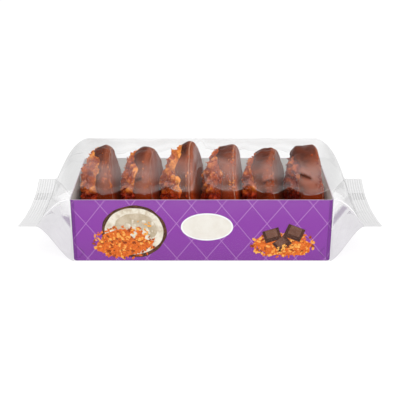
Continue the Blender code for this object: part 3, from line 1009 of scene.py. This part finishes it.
def make_print():
    """Generic pictures on front and back: a coconut half, toasted flakes, a plain plaque and chocolate."""
    art = Print()
    art.picture(
        (-52, 25, 25, 22, "shell", 0, 0.012),
        (-52, 25.3, 22.6, 19.6, "coconut", 0, 0.008),
        (-51, 27, 16.5, 13.5, "coconut_shade", 0, 0.015),
        (-60, 15.5, 21, 11.5, "toasted", 8, 0.05),
    )
    art.flakes(-60, 16, 25, 14, 330, ("toasted", "golden", "toasted", "browned", "toasted"))
    art.flakes(-45, 27, 13, 10, 60, ("coconut", "golden", "coconut"))
    art.picture((4, 29, 20, 11.5, "white"), (4, 29, 18.8, 10.3, "plaque"))
    art.picture((63, 13, 22, 8.5, "toasted", -4, 0.05))
    art.flakes(63, 14, 25, 11, 230, ("toasted", "golden", "toasted", "browned"))
    for x, z, side, turn in ((54, 22, 13, 18), (71, 24, 14, -22), (62, 15, 12, 40)):
        art.chunk(x, z, side, turn)
    art.flakes(62, 9, 22, 5, 60, ("golden", "toasted", "golden"))
    art.lift = FIRST_INK
    for side in (-1, 1):
        corners = [(side * x, z) for x, z in SCORED_TAB]
        for start, end in zip(corners, corners[1:]):
            art.line(start, end, SCORED_LINE, "fold")
    back = bmesh.ops.duplicate(art.mesh, geom=[*art.mesh.verts, *art.mesh.edges, *art.mesh.faces])["geom"]
    turned = [part for part in back if isinstance(part, bmesh.types.BMVert)]
    bmesh.ops.rotate(art.mesh, cent=(0, 0, 0), matrix=Matrix.Rotation(math.pi, 3, "Z"), verts=turned)
    finishes = [ink_finish(f"{name}_ink", *ink) for name, ink in INKS.items()]
    return add_piece("printed_pictures", art.mesh, finishes)


def board_finish():
    """Bare grey-white board inside the tray."""
    finish = Finish("bare_board")
    fibres = finish.noise(0.5 * MM, 4.0, 0.7)
    colour = finish.mix(finish.noise(14 * MM, 3.0), (0.50, 0.50, 0.485), (0.57, 0.57, 0.555))
    colour = finish.mix(finish.spread(fibres, 0.3, 0.7, 0.0, 0.3), colour, (0.5, 0.49, 0.46))
    return finish.surface(colour, 0.8, finish.bump(fibres, 0.3, 0.06 * MM))


def cut_board_finish():
    """The pale cut edge of the board."""
    finish = Finish("cut_board")
    colour = finish.mix(finish.noise(0.3 * MM, 3.0), (0.62, 0.52, 0.62), (0.80, 0.76, 0.78))
    return finish.surface(colour, 0.85)


# Macaroons


def profile(m, t):
    """(radius, height) at station t of the section: 0 is the base, 1 its edge, 2 the shoulder, 3 the top."""
    flat = m.radius - m.edge
    if t <= BASE_FLAT_END:
        return flat * t / BASE_FLAT_END, 0.0
    if t <= 1:
        angle = (t - BASE_FLAT_END) / (1 - BASE_FLAT_END) * math.pi / 2
        return flat + m.edge * math.sin(angle), m.edge * (1 - math.cos(angle))
    if t <= 2:
        return m.radius * (1 - m.slant * (t - 1)), m.edge + m.band * (t - 1)
    angle = min(t - 2, 1.0) * math.pi / 2
    power = 2 / m.dome
    radius = m.radius * (1 - m.slant) * max(math.cos(angle), 0.0) ** power
    return radius, m.shoulder + (m.thickness - m.shoulder) * math.sin(angle) ** power


def waves(table, angle, seed):
    """The sum of the waves in a table, at an angle round the macaroon."""
    return sum(size * math.sin(lobes * angle + turn * seed) for lobes, size, turn in table)


def chocolate_border(m, angle):
    """The profile station where the chocolate ends, which wavers round the macaroon."""
    height = m.chocolate + waves(BORDER_WAVES, angle, m.seed)
    if height <= m.shoulder:
        return 1 + max(height - m.edge, 0) / m.band
    share = (height - m.shoulder) / (m.thickness - m.shoulder)
    return 2 + math.asin(min(share, BORDER_HIGHEST_SHARE) ** (m.dome / 2)) / (math.pi / 2)


def outline_factor(m, angle):
    """How far the rim departs from a circle, with any peak at the top."""
    from_top = math.remainder(angle - math.pi / 2, math.tau)
    peak = m.peak * math.exp(-((from_top / PEAK_WIDTH) ** 2))
    return 1 + waves(OUTLINE_WAVES, angle, m.seed) + peak


def section_point(m, angle, t, out):
    """A point of the macaroon in its own frame, and how far it was moved out. Base in YZ, dome towards -X.

    out(place) gives how far the surface stands out of the even form at a place.
    """
    low = profile(m, max(t - SECTION_STEP, 0.0))
    high = profile(m, min(t + SECTION_STEP, 3.0))
    along = Vector((high[0] - low[0], high[1] - low[1])).normalized()
    radius, height = profile(m, t)
    radius *= outline_factor(m, angle)
    cos, sin = math.cos(angle), math.sin(angle)
    moved = out(Vector((radius * cos, radius * sin, height)))
    radius += moved * along.y
    height -= moved * along.x
    return Vector((-height, radius * cos, radius * sin)), moved


def crust_relief(m, place):
    """Crags of baked coconut: large lumps, and on them clumps of flakes with creases between."""
    seed = Vector((m.seed, 0, 0))
    lumps = CRUST_LUMP * noise.noise(place / CRUST_LUMP_SIZE + seed)
    crags = 0.0
    for size, height in CLUMPS:
        nearest, second = noise.voronoi(place / size + seed)[0][:2]
        crags += height * (min(second - nearest, 2 * CLUMP_MIDDLE) - CLUMP_MIDDLE)
    return lumps, crags + CRUST_GRAIN * noise.noise(place / CRUST_GRAIN_SIZE + seed)


def coat_lumps(m, place):
    """Shallow lumps of the chocolate, which the coconut under it follows."""
    return COAT_LUMP * noise.noise(place / COAT_LUMP_SIZE + Vector((m.seed, 0, 0)))


def coat_relief(m, place):
    """Runs and shallow lumps of the chocolate, with the coconut showing through as bumps."""
    seed = Vector((m.seed, 0, 0))
    angle = math.atan2(place.y, place.x)
    runs = noise.noise(Vector((angle * m.radius / COAT_RUN_WIDTH, place.z / COAT_RUN_LENGTH, m.seed)))
    bumpy = smooth(noise.noise(place / COAT_BUMPY_SIZE - seed), -0.15, 0.35)
    bumps = noise.noise(place / COAT_BUMP_SIZE + seed) * bumpy
    dents = noise.noise(place / COAT_DENT_SIZE - seed)
    relief = coat_lumps(m, place) + COAT_RUN * runs * smooth(place.z, 1 * MM, 6 * MM)
    relief += COAT_BUMP * bumps + COAT_DENT * dents
    above, along, size = drip_at(m, place)
    return relief + size * MM * smooth(above, -0.2, 0.8) * (1 - smooth(above, 2, 9)) * along


def drip_at(m, place):
    """How far above a thick run of chocolate's lower edge a place is, how far along it, and its size."""
    if m.seed not in DRIPS:
        return 0.0, 0.0, 0.0
    where, slope, low, high, size = DRIPS[m.seed]
    height = place.z / MM
    angle = math.atan2(place.y, place.x) % math.tau
    above = (where + slope * (height - low) - angle) * m.radius / MM
    return above, smooth(height, low - 1, low + 1) * (1 - smooth(height, high - 2, high)), size


def drip_shadow(m, place):
    """1 in the crease under a thick run of chocolate, where painted shadow darkens it."""
    above, along, size = drip_at(m, place)
    return along * min(size, 1.0) * smooth(above, -2.6, -0.6) * (1 - smooth(above, 0.0, 0.9))


def standing_place(m, mesh):
    """The turn and place that stand a macaroon's mesh on the tray's floor."""
    turned = Matrix.Rotation(math.radians(-m.turn), 4, "Z") @ Matrix.Rotation(math.radians(-m.lean), 4, "Y")
    lowest = min((turned @ vert.co).z for vert in mesh.verts)
    height = CARD_THICKNESS + FLOOR_CLEARANCE - lowest
    return Matrix.Translation((m.base_x, 0, height)) @ turned


def coat_mesh(m):
    """Milk chocolate: a cup over base and side, with a rounded wavering lip."""
    rows = COAT_OUTER_ROWS + COAT_LIP_ROWS + COAT_INNER_ROWS

    def place(column, row):
        angle = math.tau * column
        step = round(row * rows)
        border = chocolate_border(m, angle)
        if step <= COAT_OUTER_ROWS:
            depth, share = 0.0, (step / COAT_OUTER_ROWS) ** COAT_ROW_POWER
        elif step <= COAT_OUTER_ROWS + COAT_LIP_ROWS:
            turn = math.pi * (step - COAT_OUTER_ROWS) / COAT_LIP_ROWS
            depth, share = COAT_THICKNESS * (1 - math.cos(turn)) / 2, 1 + LIP_REACH * math.sin(turn)
        else:
            depth, share = COAT_THICKNESS, 1 - (step - COAT_OUTER_ROWS - COAT_LIP_ROWS) / COAT_INNER_ROWS
        t = border * share
        rise = min(1.0, t)
        # crease holds where the painted shadow under a thick run falls
        crease = [0.0]

        def out(spot):
            crease[0] = drip_shadow(m, spot)
            return coat_relief(m, spot) * rise - depth

        point, moved = section_point(m, angle, t, out)
        rim = (t - m.ridge) * RIDGE_SCALE if depth == 0 else RIDGE_SCALE
        reach = min(t, 1.0)
        lip = min(t / border, 1.0)
        to_back, to_crown = math.cos(angle) * reach, math.sin(angle) * reach
        return point, rim, (moved + depth) / MM, lip, to_back, to_crown, crease[0]

    # These place painted light and shade on the chocolate: the rim highlight, the shade at the lip and top,
    # the lit front of the base and the shadow under runs
    layers = ("rim", "relief", "to_lip", "to_back", "to_crown", "crease")
    return grid_skin(COAT_COLUMNS, rows, place, layers)


def crust_mesh(m):
    """Baked coconut: craggy above the chocolate's lip and plain where the chocolate lies."""
    rows = CRUST_UNDER_ROWS + CRUST_ROWS
    under = COAT_THICKNESS + COAT_GAP

    def place(column, row):
        angle = math.tau * column
        step = round(row * rows)
        border = chocolate_border(m, angle)
        start = border - CRUST_OVERLAP
        if step <= CRUST_UNDER_ROWS:
            t = start * step / CRUST_UNDER_ROWS
        else:
            t = start + (3.0 - start) * (step - CRUST_UNDER_ROWS) / CRUST_ROWS
        bare = smooth(t - border, *CRUST_BARES)
        craggy = smooth(t - border, *CRUST_ROUGHENS)
        relief = [0.0]

        def out(spot):
            lumps, crags = crust_relief(m, spot)
            relief[0] = (lumps + crags) / MM
            crusted = lumps + crags * min(craggy, (3.0 - t) * TIP_EVENNESS) - CRUST_INSET
            coated = coat_lumps(m, spot) * min(1.0, t) - under
            return coated + (crusted - coated) * bare

        point, _ = section_point(m, angle, t, out)
        return point, relief[0], t - border

    return grid_skin(CRUST_COLUMNS, rows, place, ("relief", "past_coat"))


def bent_shred(length, width, thickness, bend):
    """One flake of coconut: a tapered strip bent along its length, as mesh data."""
    mesh = bmesh.new()
    bmesh.ops.create_cube(mesh, size=1.0)
    lengthwise = [edge for edge in mesh.edges if abs(edge.verts[0].co.x - edge.verts[1].co.x) > 0.5]
    bmesh.ops.subdivide_edges(mesh, edges=lengthwise, cuts=2, use_grid_fill=True)
    for vert in mesh.verts:
        x, y, z = vert.co
        taper = 1 - 0.45 * (2 * abs(x)) ** 2
        curl = bend * (x ** 2 - 0.08) * length
        vert.co = (x * length, y * width * taper, z * thickness * taper + curl)
    return mesh_data("shred", mesh)


def make_shreds(look, flakes, places):
    """Flakes of coconut baked into the crust, some of them standing off it."""
    draw = random.Random(5)
    templates = [bent_shred(*(length * MM for length in lengths), bend) for *lengths, bend in SHRED_SHAPES]
    mesh = bmesh.new()
    for m, place in zip(MACAROONS, places):
        for _ in range(look.shreds):
            angle = draw.uniform(0, math.tau)
            start = chocolate_border(m, angle) + SHRED_START
            t = start + (SHRED_END - start) * draw.random() ** SHRED_CROWDING
            lift = draw.choice(SHRED_LIFTS) * MM

            def out(spot):
                return sum(crust_relief(m, spot)) - CRUST_INSET + lift

            here, there, beside = (
                section_point(m, near_angle, near_t, out)[0]
                for near_angle, near_t in ((angle, t), (angle, t - 0.03), (angle + 0.02, t))
            )
            normal = (there - here).cross(beside - here).normalized()
            if normal.x > 0.3 or normal.dot(here) < 0:
                normal = -normal
            tilt = draw.gauss(0, SHRED_TILT)
            turned = Matrix.Rotation(draw.uniform(0, math.tau), 3, normal) @ (there - here).normalized()
            turned = (turned + normal * tilt).normalized()
            side = normal.cross(turned).normalized()
            axes = Matrix((turned, side, turned.cross(side))).transposed().to_4x4()
            whole = place @ Matrix.Translation(here) @ axes @ Matrix.Scale(draw.uniform(*SHRED_SIZES), 4)
            shred = draw.choice(templates)
            shred.transform(whole)
            mesh.from_mesh(shred)
            shred.transform(whole.inverted())
    for shred in templates:
        bpy.data.meshes.remove(shred)
    return add_piece("coconut_shreds", mesh, [flakes], (), 50)


def toasted_colour(finish, look, value):
    """From pits, dark with scorching and painted shade, to golden tips, each macaroon baked by its own
    amount, and with painted shade low down.
    """
    along = finish.spread(finish.axes()[0], -BAKED_REACH, BAKED_REACH)
    tones = [(0.5 + x * MM / 2 / BAKED_REACH, (tone, tone, tone)) for x, tone in BAKED_TONES]
    value = finish.plus(value, finish.math("SUBTRACT", finish.ramp(along, tones), 0.5), limit=True)
    between = [(a + b) / 2 for a, b in zip(look.scorched_and_pit_shade, look.toasted)]
    tips = [c * 1.1 for c in look.golden]
    stops = ((0.04, look.scorched_and_pit_shade), (0.20, between), (0.40, look.toasted), (0.78, look.golden), (1.0, tips))
    return in_wall_shade(finish, finish.ramp(value, stops), look.crust_wall_shade)


def in_wall_shade(finish, colour, wall_shade_colour):
    """The colour, richer and darker with painted shade of the tray's front wall."""
    _, y, z = finish.axes()
    height = finish.plus(z, finish.times(finish.plus(y, TRAY_DEPTH / 2), SHADE_SLOPE))
    low = finish.spread(height, TRAY_HEIGHT + 5 * MM, TRAY_HEIGHT + 9 * MM, 1.0, 0.0)
    return finish.shaded(low, colour, wall_shade_colour)


def crust_finish(look):
    """Toasted coconut: dark in its pits with painted shade, orange-brown on its lumps and lighter there with
    painted light, and golden beside the chocolate.
    """
    finish = Finish("toasted_coconut")
    relief = finish.spread(finish.value("relief"), -1.3, 1.5)
    patches = finish.noise(12 * MM)
    beside_coat = finish.spread(finish.value("past_coat"), 0.05, 0.40, 0.32, 0.0)
    golden = finish.times(beside_coat, finish.spread(patches, 0.34, 0.50))
    flakes = finish.noise(1.5 * MM, 4.0, 0.65)
    # The relief darkens the pits and lightens the lumps: painted shade and painted light
    value = finish.plus(finish.times(relief, 0.50), finish.spread(patches, 0.3, 0.7, 0.02, 0.26))
    value = finish.plus(value, golden)
    value = finish.plus(value, finish.spread(flakes, 0.25, 0.75, -0.20, 0.24), limit=True)
    colour = toasted_colour(finish, look, value)
    grain = finish.bump(finish.noise(0.8 * MM, 4.0, 0.7), 0.5, 0.3 * MM)
    return finish.surface(colour, finish.spread(flakes, 0.3, 0.7, 0.35, 0.6), grain, COCONUT_SPECULAR)


def flake_finish(look):
    """Single flakes of coconut, each toasted by its own amount."""
    finish = Finish("coconut_flakes")
    cells = finish.add("TexVoronoi", {"Vector": finish.place(), "Scale": 1 / (3.2 * MM)})
    each = finish.add("SeparateColor", {0: cells.outputs["Color"]}).outputs[0]
    patches = finish.spread(finish.noise(12 * MM), 0.3, 0.7, 0.12, 0.50)
    # toasted_colour adds the painted shade of the tray's front wall
    colour = toasted_colour(finish, look, finish.plus(finish.times(each, 0.3), patches))
    grain = finish.bump(finish.noise(0.5 * MM, 3.0), 0.3, 0.1 * MM)
    return finish.surface(colour, 0.5, grain, COCONUT_SPECULAR)


def chocolate_finish(look):
    """Satin milk chocolate, with painted shade towards its lip and on its top, painted shadow under its thick
    runs, a base of its own tone painted lighter at the front, and a rim worn pale by rubbing that carries a
    painted highlight.
    """
    finish = Finish("milk_chocolate")
    clouds = finish.spread(finish.noise(6 * MM, 3.0), 0.35, 0.65, -0.35, 0.5)
    # Darker towards the lip: painted shade, over the chocolate's real mottling
    lip = finish.spread(finish.value("to_lip"), 0.55, 0.95, 0.0, 0.8)
    colour = finish.mix(finish.plus(lip, clouds, limit=True), look.chocolate, look.chocolate_dark_and_lip_shade)
    bumps = finish.spread(finish.value("relief"), -0.4, 1.6, 0.0, 0.75)
    colour = finish.mix(bumps, colour, look.chocolate_red)
    scuffs = finish.noise(3 * MM, 4.0, 0.7)
    rim = finish.value("rim")
    # Along the rim the chocolate is rubbed pale and carries a painted highlight
    ridge = finish.spread(finish.math("ABSOLUTE", rim), 0.15, 0.65, 1.0, 0.0)
    ridge = finish.times(ridge, finish.spread(scuffs, 0.38, 0.52, 0.1, 0.75))
    # The bases are painted lighter at the front, as painted light, fading to their own tone towards the back
    base = finish.mix(finish.spread(finish.value("to_back"), -0.7, 0.6), look.base_lit_front, look.base)
    colour = finish.mix(finish.spread(rim, -3.0, -1.0, 0.85, 0.0), colour, base)
    # Painted shade on the top of the chocolate
    crown_shade = finish.spread(finish.value("to_crown"), 0.84, 0.98, 0.0, 0.9)
    colour = finish.shaded(crown_shade, colour, (0.40, 0.30, 0.26))
    # Painted shadow in the crease under a thick run
    colour = finish.shaded(finish.value("crease"), colour, (0.26, 0.16, 0.12))
    colour = finish.mix(ridge, in_wall_shade(finish, colour, look.chocolate_wall_shade), look.rubbed_and_highlight)
    ripple = finish.bump(finish.noise(2.6 * MM, 3.0, 0.55), 0.45, 0.35 * MM)
    return finish.surface(colour, finish.spread(scuffs, 0.3, 0.7, 0.26, 0.40), ripple, CHOCOLATE_SPECULAR)


def make_crumbs(flakes, places):
    """Crumbs of toasted coconut stuck to the chocolate, most of them low on its front."""
    draw = random.Random(8)
    mesh = bmesh.new()
    for m, place in zip(MACAROONS, places):
        for _ in range(m.crumbs):
            angle = math.pi * draw.triangular(*CRUMB_HALF_TURNS)
            t = draw.triangular(*CRUMB_STATIONS, m.ridge)
            spot, _ = section_point(m, angle, t, lambda at: coat_relief(m, at) * min(1.0, t))
            size = draw.triangular(*CRUMB_SIZES) * MM
            flat, *wide = (draw.uniform(low, high) for low, high in CRUMB_SQUASH)
            turn = Matrix.Rotation(draw.uniform(0, math.pi), 4, draw.choice("XYZ"))
            whole = place @ Matrix.Translation(spot) @ turn @ Matrix.Diagonal((flat, *wide, 1))
            bmesh.ops.create_icosphere(mesh, subdivisions=2, radius=size, matrix=whole)
    for vert in mesh.verts:
        vert.co += noise.noise_vector(vert.co / CRUMB_ROUGH_SIZE) * CRUMB_ROUGHNESS
    return add_piece("coconut_crumbs", mesh, [flakes], (), 60)


def make_macaroons(look):
    """Six baked bodies with their chocolate coats. Returns where each stands."""
    crust, chocolate = crust_finish(look), chocolate_finish(look)
    places = []
    for number, m in enumerate(MACAROONS, start=1):
        coat = coat_mesh(m)
        place = standing_place(m, coat)
        body = crust_mesh(m)
        for mesh in (coat, body):
            bmesh.ops.transform(mesh, matrix=place, verts=mesh.verts)
        baked, coated = (f"macaroon_{number}",), (f"chocolate_{number}",)
        add_piece(f"baked_coconut_{number}", body, [crust], baked, 60)
        add_piece(f"chocolate_coat_{number}", coat, [chocolate], coated, 60)
        places.append(place)
    return places


# Stage


def make_floor():
    """A wide plain floor that is lit a little from below, as a light table is."""
    mesh = bmesh.new()
    bmesh.ops.create_grid(mesh, x_segments=1, y_segments=1, size=FLOOR_HALF_WIDTH)
    bmesh.ops.translate(mesh, vec=(0, 0, FLOOR_LEVEL), verts=mesh.verts)
    finish = Finish("white_floor")
    lit = finish.add("BsdfDiffuse", {"Color": (0.30, 0.30, 0.30, 1.0)})
    glow = finish.add("Emission", {"Color": (1.0, 1.0, 1.0, 1.0), "Strength": FLOOR_GLOW})
    white = finish.finish(finish.add("AddShader", {0: lit.outputs[0], 1: glow.outputs[0]}))
    add_object("floor", mesh_data("floor", mesh, [white]))


def aim(light, way):
    light.rotation_euler = way.to_track_quat("-Z", "Y").to_euler()


def make_lights():
    """Even soft light from above and in front, and three rectangular soft lights."""
    data = bpy.data.lights.new("sun", "SUN")
    data.energy = SUN_STRENGTH
    data.angle = math.radians(SUN_ANGLE)
    aim(add_object("sun", data), SUN_WAY)
    for name, place, size, power in LIGHTS:
        data = bpy.data.lights.new(name, "AREA")
        data.shape = "RECTANGLE"
        data.size, data.size_y = size
        data.energy = power
        light = add_object(name, data)
        light.location = place
        light.visible_glossy = False
        aim(light, LIGHT_TARGET - light.location)


def make_world():
    """Even pale surroundings, a little darker towards the horizon."""
    sky = Finish("studio", "worlds", "OutputWorld")
    height = sky.axes(sky.add("TexCoord").outputs["Generated"])["Z"]
    colour = sky.ramp(height, ((0.05, (0.62, 0.62, 0.62)), (0.7, (1.0, 1.0, 1.0))))
    bpy.context.scene.world = sky.finish(sky.add("Background", {"Color": colour, "Strength": WORLD_STRENGTH}))


def make_camera():
    """The photograph's view: level with the front, looking down at it."""
    data = bpy.data.cameras.new("camera")
    data.sensor_width = SENSOR
    data.lens = VIEW_LENS
    data.shift_x = VIEW_SHIFT
    camera = add_object("camera", data)
    camera.location = VIEW_PLACE
    camera.rotation_euler = (math.pi / 2 - VIEW_ELEVATION, 0, 0)
    bpy.context.scene.camera = camera


# Settings, operators and panel


def colour_setting(name, description, default):
    return bpy.props.FloatVectorProperty(
        name=name, description=description, subtype="COLOR", size=3, min=0.0, max=1.0, default=default,
    )


def share_setting(name, description, default):
    return bpy.props.FloatProperty(name=name, description=description, default=default, subtype="FACTOR")


class FilmLook(bpy.types.PropertyGroup):
    """How clear the film is."""

    clear_colour: colour_setting("Clear", "Light that smooth film lets through", (0.97, 0.97, 0.97))
    # Dull film lets less through, partly its own haze and partly painted shade
    dull_and_shade_colour: colour_setting("Dull", "Light that slack film at the ends lets through", (0.80, 0.80, 0.80))
    mirrored_colour: colour_setting("Mirrored", "Tint of the card mirrored in folds", (0.56, 0.50, 0.60))
    # The veil's share sets the strength of the painted reflection over the macaroons
    veil: share_setting("Veil", "Share of light scattered by the film over the macaroons", 0.125)
    gloss: share_setting("Gloss", "Share mirrored by film seen face on", 0.004)
    gloss_roughness: share_setting("Gloss roughness", "How blurred the film's reflections are", 0.10)


class PrintLook(bpy.types.PropertyGroup):
    """Colours of the tray's print."""

    ground: colour_setting("Ground", "The print's purple ground", (0.258, 0.053, 0.365))
    lattice: colour_setting("Lattice", "Thin lines of the diamond lattice", (0.50, 0.25, 0.58))
    fold: colour_setting("Fold", "Where the card is scored", (0.12, 0.03, 0.18))


class FoodLook(bpy.types.PropertyGroup):
    """Colours of the macaroons and how many flakes show."""

    # The darkest coconut, also painted shade in the pits
    scorched_and_pit_shade: colour_setting("Scorched", "Coconut in the pits", (0.22, 0.020, 0.002))
    toasted: colour_setting("Toasted", "Most of the crust", (0.52, 0.085, 0.007))
    golden: colour_setting("Golden", "Less baked patches and tips", (0.83, 0.285, 0.046))
    # Crust colour kept low in the tray: painted shade of the front wall
    crust_wall_shade: colour_setting("Deep crust", "Share of its colour kept low in the tray", (0.64, 0.20, 0.14))
    chocolate: colour_setting("Chocolate", "Milk chocolate", (0.265, 0.062, 0.024))
    # Darker chocolate, also painted shade towards the lip
    chocolate_dark_and_lip_shade: colour_setting("Dark chocolate", "Thicker chocolate", (0.125, 0.030, 0.012))
    chocolate_red: colour_setting("Thin chocolate", "Chocolate over coconut bumps", (0.33, 0.080, 0.034))
    # Chocolate colour kept low in the tray: painted shade of the front wall
    chocolate_wall_shade: colour_setting("Deep chocolate", "As for the crust", (0.74, 0.34, 0.14))
    base: colour_setting("Base", "Chocolate of the flat bases", (0.25, 0.055, 0.022))
    # Painted light on the front of the bases
    base_lit_front: colour_setting("Base rim", "Thinner chocolate near the front", (0.54, 0.14, 0.055))
    # Rubbed pale and lit by a painted highlight along the rim
    rubbed_and_highlight: colour_setting("Rubbed chocolate", "Chocolate scuffed along the rim", (0.58, 0.30, 0.20))
    shreds: bpy.props.IntProperty(name="Flakes", description="Flakes on each macaroon", default=620, min=0)


class PACK_OT_tray(bpy.types.Operator):
    """Makes the printed card tray"""

    bl_idname = "macaroon_pack.tray"
    bl_label = "Printed tray"

    def execute(self, context):
        make_tray(context.scene.pack_print)
        make_print()
        return {"FINISHED"}


class PACK_OT_macaroons(bpy.types.Operator):
    """Makes the six macaroons, their chocolate coats and their flakes of coconut"""

    bl_idname = "macaroon_pack.macaroons"
    bl_label = "Macaroons"

    def execute(self, context):
        look = context.scene.pack_food
        flakes = flake_finish(look)
        places = make_macaroons(look)
        make_shreds(look, flakes, places)
        make_crumbs(flakes, places)
        return {"FINISHED"}


class PACK_OT_film(bpy.types.Operator):
    """Makes the clear film with its gussets and crimped seals"""

    bl_idname = "macaroon_pack.film"
    bl_label = "Clear film"

    def execute(self, context):
        film = film_finish(context.scene.pack_film)
        make_film(film)
        make_back_seam(film)
        return {"FINISHED"}


class PACK_OT_stage(bpy.types.Operator):
    """Makes the floor, the lights and the camera"""

    bl_idname = "macaroon_pack.stage"
    bl_label = "Stage"

    def execute(self, context):
        make_floor()
        make_world()
        make_lights()
        make_camera()
        context.scene.view_settings.view_transform = "Standard"
        context.scene.cycles.transparent_max_bounces = 32
        return {"FINISHED"}


class PACK_PT_panel(bpy.types.Panel):
    """Lists the pack's pieces and their settings"""

    bl_label = "Macaroon pack"
    bl_idname = "PACK_PT_panel"
    bl_space_type = "VIEW_3D"
    bl_region_type = "UI"
    bl_category = "Macaroons"

    def draw(self, context):
        for operator, name, look in STEPS:
            box = self.layout.box()
            box.operator(operator)
            if name:
                settings = getattr(context.scene, name)
                for setting in look.__annotations__:
                    box.prop(settings, setting)


STEPS = (
    (PACK_OT_tray.bl_idname, "pack_print", PrintLook),
    (PACK_OT_macaroons.bl_idname, "pack_food", FoodLook),
    (PACK_OT_film.bl_idname, "pack_film", FilmLook),
    (PACK_OT_stage.bl_idname, None, None),
)
CLASSES = (
    FilmLook, PrintLook, FoodLook,
    PACK_OT_tray, PACK_OT_macaroons, PACK_OT_film, PACK_OT_stage, PACK_PT_panel,
)


def register():
    for each in CLASSES:
        bpy.utils.register_class(each)
    for _, name, look in STEPS:
        if name:
            setattr(bpy.types.Scene, name, bpy.props.PointerProperty(type=look))


def unregister():
    for _, name, _ in STEPS:
        if name:
            delattr(bpy.types.Scene, name)
    for each in reversed(CLASSES):
        bpy.utils.unregister_class(each)


def main():
    for name in ("Cube", "Light", "Camera"):
        start_object = bpy.data.objects.get(name)
        if start_object:
            bpy.data.objects.remove(start_object)
    register()
    for operator, _, _ in STEPS:
        group, name = operator.split(".")
        getattr(getattr(bpy.ops, group), name)()


if __name__ == "__main__":
    main()
